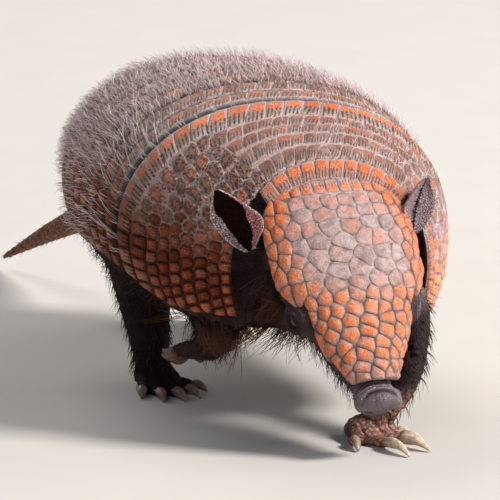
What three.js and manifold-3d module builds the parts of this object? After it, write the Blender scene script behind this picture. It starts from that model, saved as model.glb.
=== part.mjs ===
/**
 * Six-banded armadillo (Euphractus sexcinctus), life size, walking with its head held low.
 *
 * Millimetres, +Z up. The animal faces -Y and its left side is +X. Places are written in the
 * body's own frame, where the floor is z = 0 and x = 0 is the animal's middle; the whole group
 * is moved at the end so that the origin is the bottom centre of its bounding box.
 */
import * as THREE from 'three';
import { mergeVertices } from 'three/addons/utils/BufferGeometryUtils.js';
import Module from 'manifold-3d';

const { degToRad, lerp } = THREE.MathUtils;
const at = ( x, y, z ) => new THREE.Vector3( x, y, z );

// ---------------------------------------------------------------- driving dimensions

const GAP = 0.4; // clearance between touching pieces

// The carapace is a row of arches. Each station gives the arch's ridge on the back, its half
// width, and its lower edge on the flank. "run" is the distance along the back.
const CARAPACE = [
	{ run: - 12.5, ridgeY: - 104.3, ridgeZ: 136.3, halfWidth: 50, edgeY: - 115.6, edgeZ: 59.2 },
	{ run: - 9, ridgeY: - 102.5, ridgeZ: 139, halfWidth: 52, edgeY: - 114, edgeZ: 60 },
	{ run: 0, ridgeY: - 98, ridgeZ: 146, halfWidth: 57, edgeY: - 110, edgeZ: 62 },
	{ run: 30, ridgeY: - 70, ridgeZ: 158, halfWidth: 80, edgeY: - 78, edgeZ: 60 },
	{ run: 64, ridgeY: - 38, ridgeZ: 166, halfWidth: 94, edgeY: - 28, edgeZ: 69 },
	{ run: 111, ridgeY: 9, ridgeZ: 172, halfWidth: 96, edgeY: 14, edgeZ: 73 },
	{ run: 158, ridgeY: 56, ridgeZ: 171, halfWidth: 92, edgeY: 50, edgeZ: 74 },
	{ run: 205, ridgeY: 101, ridgeZ: 159, halfWidth: 79, edgeY: 80, edgeZ: 74 },
	{ run: 245, ridgeY: 134, ridgeZ: 139, halfWidth: 67, edgeY: 100, edgeZ: 73 },
	{ run: 280, ridgeY: 149, ridgeZ: 109, halfWidth: 58, edgeY: 112, edgeZ: 72 },
];
const NUCHAL_START = - 11.4;
const NUCHAL_SPREAD = 0.39; // share of the arch that the nuchal band spans
const SHIELD_START = 0;
const BANDS_START = 64;
const BAND_COUNT = 7;
const BAND_LENGTH = 13.5;
const CARAPACE_END = 279;
const SHELL_THICKNESS = 4;
const NUCHAL_THICKNESS = 2.6;
const ARCH_ANGLE = degToRad( 118 ); // from the ridge round to the lower edge
const ARCH_FULLNESS = 0.88; // under 1 squares the arch's shoulders
const ARCH_SWEEP = 1.1; // how the arch bends back towards its lower edge
const ARCH_STEPS = 24;
const NUCHAL_STEPS = 10;
const CLEARANCE_ROWS = 30;
const CLEARANCE_SPREAD = 1.02; // the swollen carapace reaches past the real one's lower edges
const RUN_STEP = 0.5; // steps that find the direction square to the carapace
const ACROSS_STEP = 0.004;
const BODY_ROLL = degToRad( 5.5 ); // the body leans to its left as it steps
const ROLL_CENTRE = at( 0, 0, 100 );

const TRUNK_START = 14;
const TRUNK_END = 274;
const TRUNK_INSET = SHELL_THICKNESS + 0.9;
const TRUNK_RINGS = 12;
const BELLY_STEPS = 8;
const BELLY_FULLNESS = 0.7; // under 1 flattens the belly
const BREAST_BACKSET = 12; // the breast lies this far behind the shield's front edge
const BREAST_LENGTH = 60;
const NECK_START = at( 0, - 68, 104 );
const NECK_HALF_WIDTH = 42;
const NECK_HALF_HEIGHT = 36;

const OCCIPUT = at( - 1, - 105.5, 134 ); // middle of the head shield's back edge
const HEAD_PITCH = degToRad( 57 );
const HEAD_LENGTH = 124;
const NAPE_START = 4; // where the flesh of the head starts under the head shield
const THROAT_START = 52; // where the underside of the head leaves the neck
const CHIN_NARROWING = 0.32; // how much the head narrows from its cheeks to its chin
const HEAD_SIDES = 16;
const HEAD_RINGS = 12;
const HEAD_SHIELD_LENGTH = 112;
const HEAD_SHIELD_THICKNESS = 3;
const HEAD_SHIELD_STEPS = 10;
const EYE_RADIUS = 4.6;
const EYE_ALONG = 71;
const EYE_SIDE = 32;
const EYE_BELOW = - 7;
// The animal turns each ear by itself. "front" is the side of the scoop with the broad lobe.
const EARS = {
	left: {
		base: at( 46, - 107, 103.8 ), tip: at( 55, - 106, 133 ),
		facing: at( 0.5, - 0.85, 0.12 ), front: - 1,
	},
	right: {
		base: at( - 47.5, - 107, 102.3 ), tip: at( - 65.5, - 105, 136.1 ),
		facing: at( - 0.62, - 0.74, 0.12 ), front: 1,
	},
};
const EAR_HALF_WIDTH = 13;
const EAR_THICKNESS = 1.8;
const EAR_CURL_LIMIT = 1.3; // radians either side of the ear's middle line
const EAR_DEPTH = 0.6; // share of the curl's radius that the scoop stands back from its rim

// ---------------------------------------------------------------- materials

const finish = ( color, roughness ) =>
	new THREE.MeshStandardMaterial( { color, roughness, metalness: 0 } );
const SKIN = finish( 0x4a3a38, 0.8 );
const SCUTE = finish( 0x9a7a6a, 0.6 );
const HORN = finish( 0xd8c8a8, 0.45 );
const EYE = finish( 0x101216, 0.1 );
const EAR = finish( 0x8a7074, 0.75 );

// ---------------------------------------------------------------- helpers

/** Smooth curve through [ place, value ] stations that never swings past them. */
function profile( stations ) {

	const x = stations.map( ( s ) => s[ 0 ] );
	const y = stations.map( ( s ) => s[ 1 ] );
	const last = x.length - 1;
	const rise = x.slice( 1 ).map( ( next, i ) => ( y[ i + 1 ] - y[ i ] ) / ( next - x[ i ] ) );
	const slope = x.map( ( _, i ) => {

		if ( i === 0 ) return rise[ 0 ];
		if ( i === last ) return rise[ last - 1 ];
		const product = rise[ i - 1 ] * rise[ i ];
		return product <= 0 ? 0 : 2 * product / ( rise[ i - 1 ] + rise[ i ] );

	} );

	return ( place ) => {

		const p = THREE.MathUtils.clamp( place, x[ 0 ], x[ last ] );
		let i = 0;
		while ( i < last - 1 && p > x[ i + 1 ] ) i ++;
		const h = x[ i + 1 ] - x[ i ];
		const t = ( p - x[ i ] ) / h;
		const t2 = t * t;
		const t3 = t2 * t;
		return ( 2 * t3 - 3 * t2 + 1 ) * y[ i ] + ( t3 - 2 * t2 + t ) * h * slope[ i ]
			+ ( 3 * t2 - 2 * t3 ) * y[ i + 1 ] + ( t3 - t2 ) * h * slope[ i + 1 ];

	};

}

const steps = ( count ) => Array.from( { length: count + 1 }, ( _, i ) => i / count );

/** Closed geometry from points and triangles, with its faces turned outwards. */
function closedGeometry( points, triangles ) {

	const volume = triangles.reduce( ( sum, [ a, b, c ] ) =>
		sum + points[ a ].dot( points[ b ].clone().cross( points[ c ] ) ), 0 );
	const order = volume < 0 ? ( [ a, b, c ] ) => [ a, c, b ] : ( face ) => face;
	const geometry = new THREE.BufferGeometry().setFromPoints( points );
	geometry.setIndex( triangles.flatMap( order ) );
	geometry.computeVertexNormals();
	return geometry;

}

/** Solid skinned over closed rings of equal length, with a flat fan at each end. */
function ringSolid( rings ) {

	const size = rings[ 0 ].length;
	const points = rings.flat();
	const triangles = [];
	const index = ( ring, k ) => ring * size + ( k % size );
	for ( let ring = 0; ring < rings.length - 1; ring ++ ) {

		for ( let k = 0; k < size; k ++ ) {

			triangles.push( [ index( ring, k ), index( ring, k + 1 ), index( ring + 1, k + 1 ) ] );
			triangles.push( [ index( ring, k ), index( ring + 1, k + 1 ), index( ring + 1, k ) ] );

		}

	}

	for ( const [ ring, flip ] of [[ 0, true ], [ rings.length - 1, false ]] ) {

		const middle = points.length;
		points.push( rings[ ring ].reduce( ( sum, p ) => sum.add( p ), at( 0, 0, 0 ) ).divideScalar( size ) );
		for ( let k = 0; k < size; k ++ ) {

			const edge = [ index( ring, k ), index( ring, k + 1 ) ];
			triangles.push( flip ? [ middle, edge[ 1 ], edge[ 0 ] ] : [ middle, edge[ 0 ], edge[ 1 ] ] );

		}

	}

	return closedGeometry( points, triangles );

}

/** Plate between two grids of points, outer and inner, closed round its rim. */
function plateSolid( outer, inner ) {

	const rows = outer.length;
	const columns = outer[ 0 ].length;
	const points = [ ...outer.flat(), ...inner.flat() ];
	const triangles = [];
	const quad = ( a, b, c, d ) => triangles.push( [ a, b, c ], [ a, c, d ] );
	const top = ( i, j ) => i * columns + j;
	const under = ( i, j ) => rows * columns + i * columns + j;
	for ( let i = 0; i < rows - 1; i ++ ) {

		for ( let j = 0; j < columns - 1; j ++ ) {

			quad( top( i, j ), top( i, j + 1 ), top( i + 1, j + 1 ), top( i + 1, j ) );
			quad( under( i, j ), under( i + 1, j ), under( i + 1, j + 1 ), under( i, j + 1 ) );

		}

		quad( top( i, 0 ), top( i + 1, 0 ), under( i + 1, 0 ), under( i, 0 ) );
		const end = columns - 1;
		quad( top( i + 1, end ), top( i, end ), under( i, end ), under( i + 1, end ) );

	}

	for ( let j = 0; j < columns - 1; j ++ ) {

		const end = rows - 1;
		quad( top( 0, j + 1 ), top( 0, j ), under( 0, j ), under( 0, j + 1 ) );
		quad( top( end, j ), top( end, j + 1 ), under( end, j + 1 ), under( end, j ) );

	}

	return closedGeometry( points, triangles );

}

/**
 * Limb along a smooth path. Stations are [ x, y, z, half width, half depth ], where the width
 * is measured along the side vector.
 */
function limbRings( stations, { sides = 8, count = 6, side = at( 1, 0, 0 ) } = {} ) {

	const path = new THREE.CatmullRomCurve3( stations.map( ( s ) => at( s[ 0 ], s[ 1 ], s[ 2 ] ) ) );
	const place = stations.map( ( _, i ) => i / ( stations.length - 1 ) );
	const width = profile( stations.map( ( s, i ) => [ place[ i ], s[ 3 ] ] ) );
	const depth = profile( stations.map( ( s, i ) => [ place[ i ], s[ 4 ] ] ) );
	return steps( count ).map( ( t ) => {

		const centre = path.getPoint( t );
		const along = path.getTangent( t );
		const across = side.clone().addScaledVector( along, - side.dot( along ) ).normalize();
		const fore = along.clone().cross( across );
		return steps( sides ).slice( 0, - 1 ).map( ( turn ) => centre.clone()
			.addScaledVector( across, width( t ) * Math.cos( 2 * Math.PI * turn ) )
			.addScaledVector( fore, depth( t ) * Math.sin( 2 * Math.PI * turn ) ) );

	} );

}

const wasm = await Module();
wasm.setup();

function solidOf( geometry ) {

	const bare = geometry.clone();
	bare.deleteAttribute( 'normal' );
	bare.deleteAttribute( 'uv' );
	const merged = mergeVertices( bare, 1e-4 );
	return new wasm.Manifold( new wasm.Mesh( {
		numProp: 3,
		vertProperties: new Float32Array( merged.attributes.position.array ),
		triVerts: new Uint32Array( merged.index.array ),
	} ) );

}

/** Geometry of a solid's largest body. */
function geometryOf( solid ) {

	const larger = ( a, b ) => ( b.volume() > a.volume() ? b : a );
	const mesh = solid.decompose().reduce( larger ).getMesh();
	const places = new THREE.BufferAttribute( new Float32Array( mesh.vertProperties ), 3 );
	const geometry = new THREE.BufferGeometry();
	geometry.setAttribute( 'position', places );
	geometry.setIndex( new THREE.BufferAttribute( new Uint32Array( mesh.triVerts ), 1 ) );
	geometry.computeVertexNormals();
	return geometry;

}

const joined = ( geometries ) => geometries.map( solidOf ).reduce( ( a, b ) => a.add( b ) );
const armadillo = new THREE.Group();

function addNode( name, geometry, material ) {

	const mesh = new THREE.Mesh( geometry, material );
	mesh.name = name;
	armadillo.add( mesh );

}

// ---------------------------------------------------------------- carapace

const carapaceProfile = ( key ) =>
	profile( CARAPACE.map( ( station ) => [ station.run, station[ key ] ] ) );
const ridgeY = carapaceProfile( 'ridgeY' );
const ridgeZ = carapaceProfile( 'ridgeZ' );
const archHalfWidth = carapaceProfile( 'halfWidth' );
const edgeY = carapaceProfile( 'edgeY' );
const edgeZ = carapaceProfile( 'edgeZ' );

function rolled( point ) {

	return point.sub( ROLL_CENTRE ).applyAxisAngle( at( 0, 1, 0 ), BODY_ROLL ).add( ROLL_CENTRE );

}

/** Outer face of the carapace; across runs from -1 on the right flank to 1 on the left. */
function carapacePoint( run, across ) {

	const angle = across * ARCH_ANGLE;
	const drop = ( 1 - Math.cos( angle ) ) / ( 1 - Math.cos( ARCH_ANGLE ) );
	const side = Math.sign( angle ) * Math.abs( Math.sin( angle ) ) ** ARCH_FULLNESS;
	return rolled( at(
		archHalfWidth( run ) * side,
		lerp( ridgeY( run ), edgeY( run ), drop ** ARCH_SWEEP ),
		lerp( ridgeZ( run ), edgeZ( run ), drop ),
	) );

}

/** Point under the carapace's outer face, at a depth measured square to it. */
function carapaceInside( run, across, inset ) {

	const behind = carapacePoint( run + RUN_STEP, across );
	const ahead = carapacePoint( run - RUN_STEP, across );
	const left = carapacePoint( run, across + ACROSS_STEP );
	const right = carapacePoint( run, across - ACROSS_STEP );
	const outward = left.sub( right ).cross( behind.sub( ahead ) ).normalize();
	return carapacePoint( run, across ).addScaledVector( outward, - inset );

}

/** Plate of the carapace; spread is the share of the arch it spans, grow swells it. */
function shellPlate( start, end, rows, options = {} ) {

	const { spread = 1, thickness = SHELL_THICKNESS, columns = ARCH_STEPS, grow = 0 } = options;
	const grid = ( inset ) => steps( rows ).map( ( row ) => steps( columns ).map( ( column ) =>
		carapaceInside( lerp( start, end, row ), spread * ( 2 * column - 1 ), inset ) ) );
	return plateSolid( grid( - grow ), grid( thickness + grow ) );

}

/** The carapace swollen by the gap, which cuts what touches it clear. */
const carapaceClearance = () => shellPlate( SHIELD_START - GAP, CARAPACE_END + GAP,
	CLEARANCE_ROWS, { spread: CLEARANCE_SPREAD, grow: 2 * GAP } );

function addCarapace() {

	const nuchal = shellPlate( NUCHAL_START, SHIELD_START - GAP, 1,
		{ spread: NUCHAL_SPREAD, thickness: NUCHAL_THICKNESS, columns: NUCHAL_STEPS } );
	const nuchalBand = solidOf( nuchal ).subtract( solidOf( headShieldClearance() ) );
	addNode( 'nuchal_band', geometryOf( nuchalBand ), SCUTE );
	addNode( 'scapular_shield', shellPlate( SHIELD_START, BANDS_START, 5 ), SCUTE );
	for ( let band = 0; band < BAND_COUNT; band ++ ) {

		const start = BANDS_START + band * BAND_LENGTH;
		addNode( `band_${ band + 1 }`, shellPlate( start + GAP, start + BAND_LENGTH, 1 ), SCUTE );

	}

	const bandsEnd = BANDS_START + BAND_COUNT * BAND_LENGTH;
	addNode( 'pelvic_shield', shellPlate( bandsEnd + GAP, CARAPACE_END, 8 ), SCUTE );

}

// ---------------------------------------------------------------- trunk

const bellyDepth = profile( [
	[ TRUNK_START, 10 ], [ 64, 25 ], [ 140, 28 ], [ 220, 22 ], [ TRUNK_END, 8 ],
] );

/** Body inside the carapace; grow swells it, so that it can cut its neighbours clear. */
function trunkGeometry( grow = 0 ) {

	const rings = steps( TRUNK_RINGS ).map( ( t ) => {

		const run = lerp( TRUNK_START - grow, TRUNK_END + grow, t );
		const back = steps( ARCH_STEPS ).map( ( column ) =>
			carapaceInside( run, 2 * column - 1, TRUNK_INSET - grow ) );
		const left = back[ ARCH_STEPS ];
		const right = back[ 0 ];
		const belly = steps( BELLY_STEPS ).slice( 1, - 1 ).map( ( turn ) => {

			const sag = Math.sin( Math.PI * turn );
			const point = left.clone().lerp( right, ( 1 - Math.cos( Math.PI * turn ) ) / 2 );
			const nearBreast = Math.max( 0, 1 - ( run - TRUNK_START ) / BREAST_LENGTH );
			point.z -= ( bellyDepth( run ) + grow ) * sag ** BELLY_FULLNESS;
			point.y += sag * BREAST_BACKSET * nearBreast;
			return point;

		} );
		return [ ...back, ...belly ];

	} );
	return ringSolid( rings );

}

// ---------------------------------------------------------------- head

const headAxis = at( 0, - Math.cos( HEAD_PITCH ), - Math.sin( HEAD_PITCH ) );
const headUp = at( 0, - Math.sin( HEAD_PITCH ), Math.cos( HEAD_PITCH ) );

// All are measured along the head from the occiput: the crown line of the head shield, the
// cheeks' half width, the crown's height over the cheeks, the jaw line, and the shield's half
// width with its step behind the eye.
const crown = profile( [
	[ 0, 0 ], [ 22, 6.5 ], [ 50, 9.5 ], [ 75, 9 ], [ 96, 7.5 ], [ 112, 6.5 ], [ 118, 6.5 ],
	[ HEAD_LENGTH, 3 ],
] );
const cheek = profile( [
	[ 0, 39 ], [ 14, 42 ], [ 30, 43.5 ], [ 50, 42.5 ], [ 62, 38.5 ], [ 72, 32.5 ], [ 84, 27 ],
	[ 98, 20 ], [ 110, 14.5 ], [ 118, 13.5 ], [ HEAD_LENGTH, 9 ],
] );
const crownRise = profile( [
	[ 0, 14 ], [ 48, 16 ], [ 72, 13.5 ], [ 98, 10.5 ], [ 118, 8 ], [ HEAD_LENGTH, 6 ],
] );
const jaw = profile( [
	[ 32, - 44 ], [ THROAT_START, - 43 ], [ 75, - 38 ], [ 96, - 30 ], [ 110, - 21 ], [ 118, - 13.5 ],
	[ HEAD_LENGTH, - 8.5 ],
] );
const shieldHalfWidth = profile( [
	[ 0, 25 ], [ 5, 34 ], [ 14, 40 ], [ 30, 42.5 ], [ 50, 42 ], [ 61, 38 ], [ 67, 30.5 ],
	[ 84, 26.5 ], [ 98, 20 ], [ HEAD_SHIELD_LENGTH, 13 ],
] );

// The flesh lies this deep under the head shield and comes up to the surface at the nose; the
// cover fades out by the turn from the crown, in radians.
const underShield = HEAD_SHIELD_THICKNESS + 5 * GAP;
const fleshInset = profile( [
	[ 0, underShield ], [ HEAD_SHIELD_LENGTH + 1, underShield ], [ HEAD_SHIELD_LENGTH + 6, 0 ],
] );
const shieldCover = profile( [[ 0, 1 ], [ 1.6, 1 ], [ 1.9, 0 ], [ Math.PI, 0 ]] );

/** Point on the head; turn goes round from 0 at the crown, inset goes under the surface. */
function headPoint( along, turn, inset ) {

	const rise = Math.cos( turn );
	const widest = crown( along ) - crownRise( along );
	const height = rise > 0 ? crownRise( along ) : widest - jaw( along );
	const narrowing = rise > 0 ? 1 : 1 + CHIN_NARROWING * rise;
	const side = ( cheek( along ) - inset ) * Math.sin( turn ) * narrowing;
	return OCCIPUT.clone()
		.addScaledVector( headAxis, along )
		.addScaledVector( headUp, widest + ( height - inset ) * rise )
		.add( at( side, 0, 0 ) );

}

function headRing( place, grow ) {

	return steps( HEAD_SIDES ).slice( 0, - 1 ).map( ( fraction ) => {

		const turn = 2 * Math.PI * fraction;
		const top = lerp( NAPE_START, HEAD_LENGTH, place );
		const bottom = lerp( THROAT_START, HEAD_LENGTH, place );
		const along = lerp( top, bottom, ( 1 - Math.cos( turn ) ) / 2 );
		const fromCrown = Math.min( turn, 2 * Math.PI - turn );
		return headPoint( along, turn, fleshInset( along ) * shieldCover( fromCrown ) - grow );

	} );

}

const headGeometry = ( grow = 0 ) =>
	ringSolid( steps( HEAD_RINGS ).map( ( place ) => headRing( place, grow ) ) );

function headShieldGeometry() {

	const row = ( along, inset ) => {

		const share = Math.min( 0.995, shieldHalfWidth( along ) / cheek( along ) );
		const reach = Math.asin( share );
		return steps( HEAD_SHIELD_STEPS ).map( ( t ) => headPoint( along, reach * ( 2 * t - 1 ), inset ) );

	};

	const rows = [ 0, 3, 8, 16, 28, 40, 52, 61, 67, 76, 87, 98, HEAD_SHIELD_LENGTH ];
	const grid = ( inset ) => rows.map( ( along ) => row( along, inset ) );
	return plateSolid( grid( 0 ), grid( HEAD_SHIELD_THICKNESS ) );

}

function eyeCentre( side ) {

	return OCCIPUT.clone()
		.addScaledVector( headAxis, EYE_ALONG )
		.addScaledVector( headUp, EYE_BELOW )
		.add( at( side * EYE_SIDE, 0, 0 ) );

}

function eyeBall( side, radius ) {

	const centre = eyeCentre( side );
	return new THREE.SphereGeometry( radius, 10, 7 ).translate( centre.x, centre.y, centre.z );

}

/** Scoop of an ear: a leaf-shaped sheet curled forwards along its length. */
function earGeometry( { base, tip, facing, front } ) {

	const lengthwise = tip.clone().sub( base );
	const forwards = facing.clone().normalize();
	const widthwise = lengthwise.clone().cross( forwards ).normalize();
	const frontLobe = profile( [
		[ 0, 0.45 ], [ 0.2, 1 ], [ 0.35, 1.15 ], [ 0.6, 0.85 ], [ 0.85, 0.4 ], [ 1, 0.08 ],
	] );
	const backLobe = profile( [
		[ 0, 0.35 ], [ 0.35, 0.6 ], [ 0.62, 0.72 ], [ 0.85, 0.42 ], [ 1, 0.08 ],
	] );
	const curl = profile( [[ 0, EAR_CURL_LIMIT ], [ 0.5, 1.1 ], [ 1, 0.5 ]] );
	const grid = ( sink ) => steps( 5 ).map( ( t ) => steps( 7 ).map( ( s ) => {

		const bend = curl( t ) * ( 2 * s - 1 );
		const radius = ( lobe ) => EAR_HALF_WIDTH * lobe / Math.sin( curl( t ) );
		const side = radius( bend * front > 0 ? frontLobe( t ) : backLobe( t ) );
		const depth = radius( ( frontLobe( t ) + backLobe( t ) ) / 2 );
		return base.clone()
			.addScaledVector( lengthwise, t )
			.addScaledVector( widthwise, ( side + sink ) * Math.sin( bend ) )
			.addScaledVector( forwards, depth * EAR_DEPTH - ( depth + sink ) * Math.cos( bend ) );

	} ) );
	return plateSolid( grid( EAR_THICKNESS ), grid( 0 ) );

}

function addHead() {

	const flesh = solidOf( headGeometry() );
	const sockets = joined( [ eyeBall( 1, EYE_RADIUS + GAP ), eyeBall( - 1, EYE_RADIUS + GAP ) ] );
	addNode( 'head', geometryOf( flesh.subtract( sockets ) ), SKIN );
	addNode( 'head_shield', headShieldGeometry(), SCUTE );
	const clearance = joined( [
		headGeometry( GAP ), headShieldClearance(), neckGeometry( GAP ), carapaceClearance(),
	] );
	for ( const [ name, side ] of [[ 'left', 1 ], [ 'right', - 1 ]] ) {

		addNode( `eye_${ name }`, eyeBall( side, EYE_RADIUS ), EYE );
		const ear = solidOf( earGeometry( EARS[ name ] ) );
		addNode( `ear_${ name }`, geometryOf( ear.subtract( clearance ) ), EAR );

	}

}

/** A swollen head shield, which cuts the ears clear of the real one. */
function headShieldClearance() {

	const reach = 1.5; // radians either side of the crown, past the shield's own edges
	const rows = [ - 1, 9, 27, 49, 63, 80 ];
	const grid = ( inset ) => rows.map( ( along ) => steps( HEAD_SHIELD_STEPS ).map( ( t ) =>
		headPoint( along, reach * ( 2 * t - 1 ), inset ) ) );
	return plateSolid( grid( - 2 * GAP ), grid( HEAD_SHIELD_THICKNESS + 2 * GAP ) );

}

/** Short neck from inside the trunk to the back of the head. */
function neckGeometry( grow = 0 ) {

	const start = steps( HEAD_SIDES ).slice( 0, - 1 ).map( ( fraction ) => {

		const turn = 2 * Math.PI * fraction;
		const side = ( NECK_HALF_WIDTH + grow ) * Math.sin( turn );
		return NECK_START.clone().add( at( side, 0, ( NECK_HALF_HEIGHT + grow ) * Math.cos( turn ) ) );

	} );
	const end = headRing( 0, grow ).map( ( point ) => point.add( at( 0, GAP, 0 ) ) );
	return ringSolid( steps( 4 ).map( ( t ) =>
		start.map( ( point, k ) => point.clone().lerp( end[ k ], t ) ) ) );

}

// ---------------------------------------------------------------- legs and feet

// Digits are listed from the innermost outwards: sideways place, turn from straight ahead,
// toe length and claw length.
const FORE_DIGITS = [
	{ place: - 9, turn: - 34, toe: 6, claw: 14, reach: - 11 },
	{ place: - 4.5, turn: - 9, toe: 9, claw: 23, reach: 0 },
	{ place: 1.5, turn: 7, toe: 9, claw: 22, reach: 0 },
	{ place: 7, turn: 16, toe: 7, claw: 14, reach: - 3 },
	{ place: 10, turn: 28, toe: 5, claw: 8, reach: - 8 },
];
const HIND_DIGITS = [
	{ place: - 10, turn: - 24, toe: 7, claw: 9, reach: - 5 },
	{ place: - 5, turn: - 9, toe: 9, claw: 12, reach: 0 },
	{ place: 0.5, turn: 2, toe: 10, claw: 13, reach: 1 },
	{ place: 6, turn: 13, toe: 9, claw: 11, reach: - 1 },
	{ place: 10.5, turn: 27, toe: 6, claw: 8, reach: - 6 },
];
const FORE_PALM = { length: 27, halfWidth: 13, height: 13 };
const HIND_PALM = { length: 34, halfWidth: 12.5, height: 13 };
const PALM_AXIS = 0.4; // height of the palm's widest line, as a share of the palm's height
const DIGIT_SIDES = 6;
const TOE_RADIUS = 3.6;
const TOE_AXIS = 2.9; // height of the toes' middle line, which leaves them flat below
const TOE_OVERLAP = 6; // how far a toe runs back into the palm
const CLAW_HALF_WIDTH = 2.9;
const CLAW_HEIGHT = 2.9;
const CLAW_TIP = 0.9; // height of the claw tip's middle line
const CLAW_POINT = 0.26; // the tip's thickness as a share of the root's
const CLAW_REACH = 0.9; // a curved claw's tip lies this share of its length ahead of its root
const CLAW_ARCH = 0.16; // how high the claw arches, as a share of its length
const CLAW_CLEARANCE = 0.3; // the lowest that a claw comes to the floor

/** A palm in its own frame: toes towards -y, sole flat on z = 0. */
function palmGeometry( { length, halfWidth, height } ) {

	const width = profile( [[ 0, 0.5 ], [ 0.25, 0.78 ], [ 0.7, 1 ], [ 1, 0.8 ]] );
	const top = profile( [[ 0, 0.7 ], [ 0.3, 1 ], [ 0.7, 0.85 ], [ 1, 0.5 ]] );
	return ringSolid( steps( 4 ).map( ( t ) => steps( 8 ).slice( 0, - 1 ).map( ( fraction ) => {

		const turn = 2 * Math.PI * fraction;
		const z = height * top( t ) * ( PALM_AXIS + ( 1 - PALM_AXIS ) * Math.sin( turn ) );
		return at( halfWidth * width( t ) * Math.cos( turn ), length * ( 0.5 - t ), Math.max( 0, z ) );

	} ) ) );

}

/** Toe and claw of one digit, in the palm's frame; outward is 1 on a left foot. */
function digitGeometry( digit, palm, outward ) {

	const turn = degToRad( digit.turn ) * outward;
	const ahead = at( Math.sin( turn ), - Math.cos( turn ), 0 );
	const sideways = at( ahead.y, - ahead.x, 0 );
	const front = TOE_OVERLAP - palm.length / 2 - digit.reach;
	const knuckle = at( digit.place * outward, front, TOE_AXIS );
	const end = knuckle.clone().addScaledVector( ahead, digit.toe + TOE_OVERLAP );
	const ring = ( centre, width, height ) => steps( DIGIT_SIDES ).slice( 0, - 1 ).map( ( f ) => {

		const round = 2 * Math.PI * f;
		const point = centre.clone().addScaledVector( sideways, width * Math.cos( round ) );
		return point.setZ( Math.max( 0, centre.z + height * Math.sin( round ) ) );

	} );
	const swelling = profile( [[ 0, 0.95 ], [ 0.7, 1.1 ], [ 1, 0.85 ]] );
	const toe = ringSolid( [ 0, 0.7, 1 ].map( ( t ) => {

		const radius = TOE_RADIUS * swelling( t );
		return ring( knuckle.clone().lerp( end, t ), radius, radius );

	} ) );

	const root = end.clone().addScaledVector( ahead, GAP );
	const tip = root.clone().addScaledVector( ahead, digit.claw * CLAW_REACH ).setZ( CLAW_TIP );
	const arch = root.clone().lerp( tip, 0.55 ).setZ( root.z + digit.claw * CLAW_ARCH );
	const curve = new THREE.QuadraticBezierCurve3( root, arch, tip );
	const claw = ringSolid( [ 0, 0.35, 0.7, 1 ].map( ( t ) => {

		const taper = lerp( 1, CLAW_POINT, t ** 1.6 );
		const centre = curve.getPoint( t );
		centre.z = Math.max( centre.z, CLAW_HEIGHT * taper + CLAW_CLEARANCE );
		return ring( centre, CLAW_HALF_WIDTH * taper, CLAW_HEIGHT * taper );

	} ) );
	return { toe, claw };

}

// Each leg: its limb stations from inside the trunk to the ankle, its sole's centre, the turn
// of the foot away from straight ahead, and for a lifted foot how far it is folded back.
const LEGS = {
	front_left: {
		limb: [
			[ 42, - 72, 84, 16, 22 ], [ 45, - 93, 70, 13, 16 ], [ 42, - 116, 56, 10, 13 ],
			[ 31, - 133, 33, 8.5, 11.5 ], [ 15, - 131, 12, 9, 10 ],
		],
		sole: at( 10, - 131, 0 ), turn: 20, fold: 0, digits: FORE_DIGITS, palm: FORE_PALM,
	},
	front_right: {
		limb: [
			[ - 44, - 66, 92, 16, 22 ], [ - 48, - 72, 71, 14, 20 ], [ - 50, - 66, 55, 12, 15 ],
			[ - 48, - 55, 44, 10, 11 ], [ - 46, - 46, 38, 9, 9 ],
		],
		sole: at( - 46, - 38, 39 ), turn: 0, fold: 155, digits: FORE_DIGITS, palm: FORE_PALM,
	},
	hind_right: {
		limb: [
			[ - 48, 66, 98, 20, 30 ], [ - 56, 35, 74, 18, 26 ], [ - 56, 25, 46, 14, 21 ],
			[ - 54, 22, 24, 11, 15 ], [ - 52, 23, 10, 10, 11 ],
		],
		sole: at( - 52, 18, 0 ), turn: - 4, fold: 0, digits: HIND_DIGITS, palm: HIND_PALM,
	},
	hind_left: {
		limb: [
			[ 44, 84, 98, 20, 30 ], [ 50, 84, 72, 17, 25 ], [ 42, 108, 46, 13, 17 ],
			[ 29, 133, 24, 10, 12 ], [ 26, 137, 10, 9, 9 ],
		],
		sole: at( 25, 131, 0 ), turn: 4, fold: 0, digits: HIND_DIGITS, palm: HIND_PALM,
	},
};

function addLeg( name, leg, clearance ) {

	const outward = name.endsWith( 'left' ) ? 1 : - 1;
	const placing = new THREE.Matrix4().makeTranslation( leg.sole )
		.multiply( new THREE.Matrix4().makeRotationZ( degToRad( leg.turn ) * outward ) )
		.multiply( new THREE.Matrix4().makeRotationX( degToRad( leg.fold ) ) );
	const digits = leg.digits.map( ( digit ) => digitGeometry( digit, leg.palm, outward ) );
	const foot = [ palmGeometry( leg.palm ), ...digits.map( ( digit ) => digit.toe ) ];
	for ( const geometry of foot ) geometry.applyMatrix4( placing );
	const whole = joined( [ ringSolid( limbRings( leg.limb ) ), ...foot ] );
	addNode( `leg_${ name }`, geometryOf( whole.subtract( clearance ) ), SKIN );
	digits.forEach( ( { claw }, i ) =>
		addNode( `claw_${ name }_${ i + 1 }`, claw.applyMatrix4( placing ), HORN ) );

}

// ---------------------------------------------------------------- tail

// Stations of the tail, from inside the trunk to its tip, in a limb's terms.
const TAIL = [
	[ 0, 118, 100, 18, 18 ], [ 0, 150, 86, 16, 16 ], [ - 3, 190, 68, 12, 12 ],
	[ - 9, 232, 48, 9, 9 ], [ - 19, 275, 28, 6, 6 ], [ - 31, 317, 6, 2.6, 2.6 ],
];

// ---------------------------------------------------------------- assembly

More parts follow.
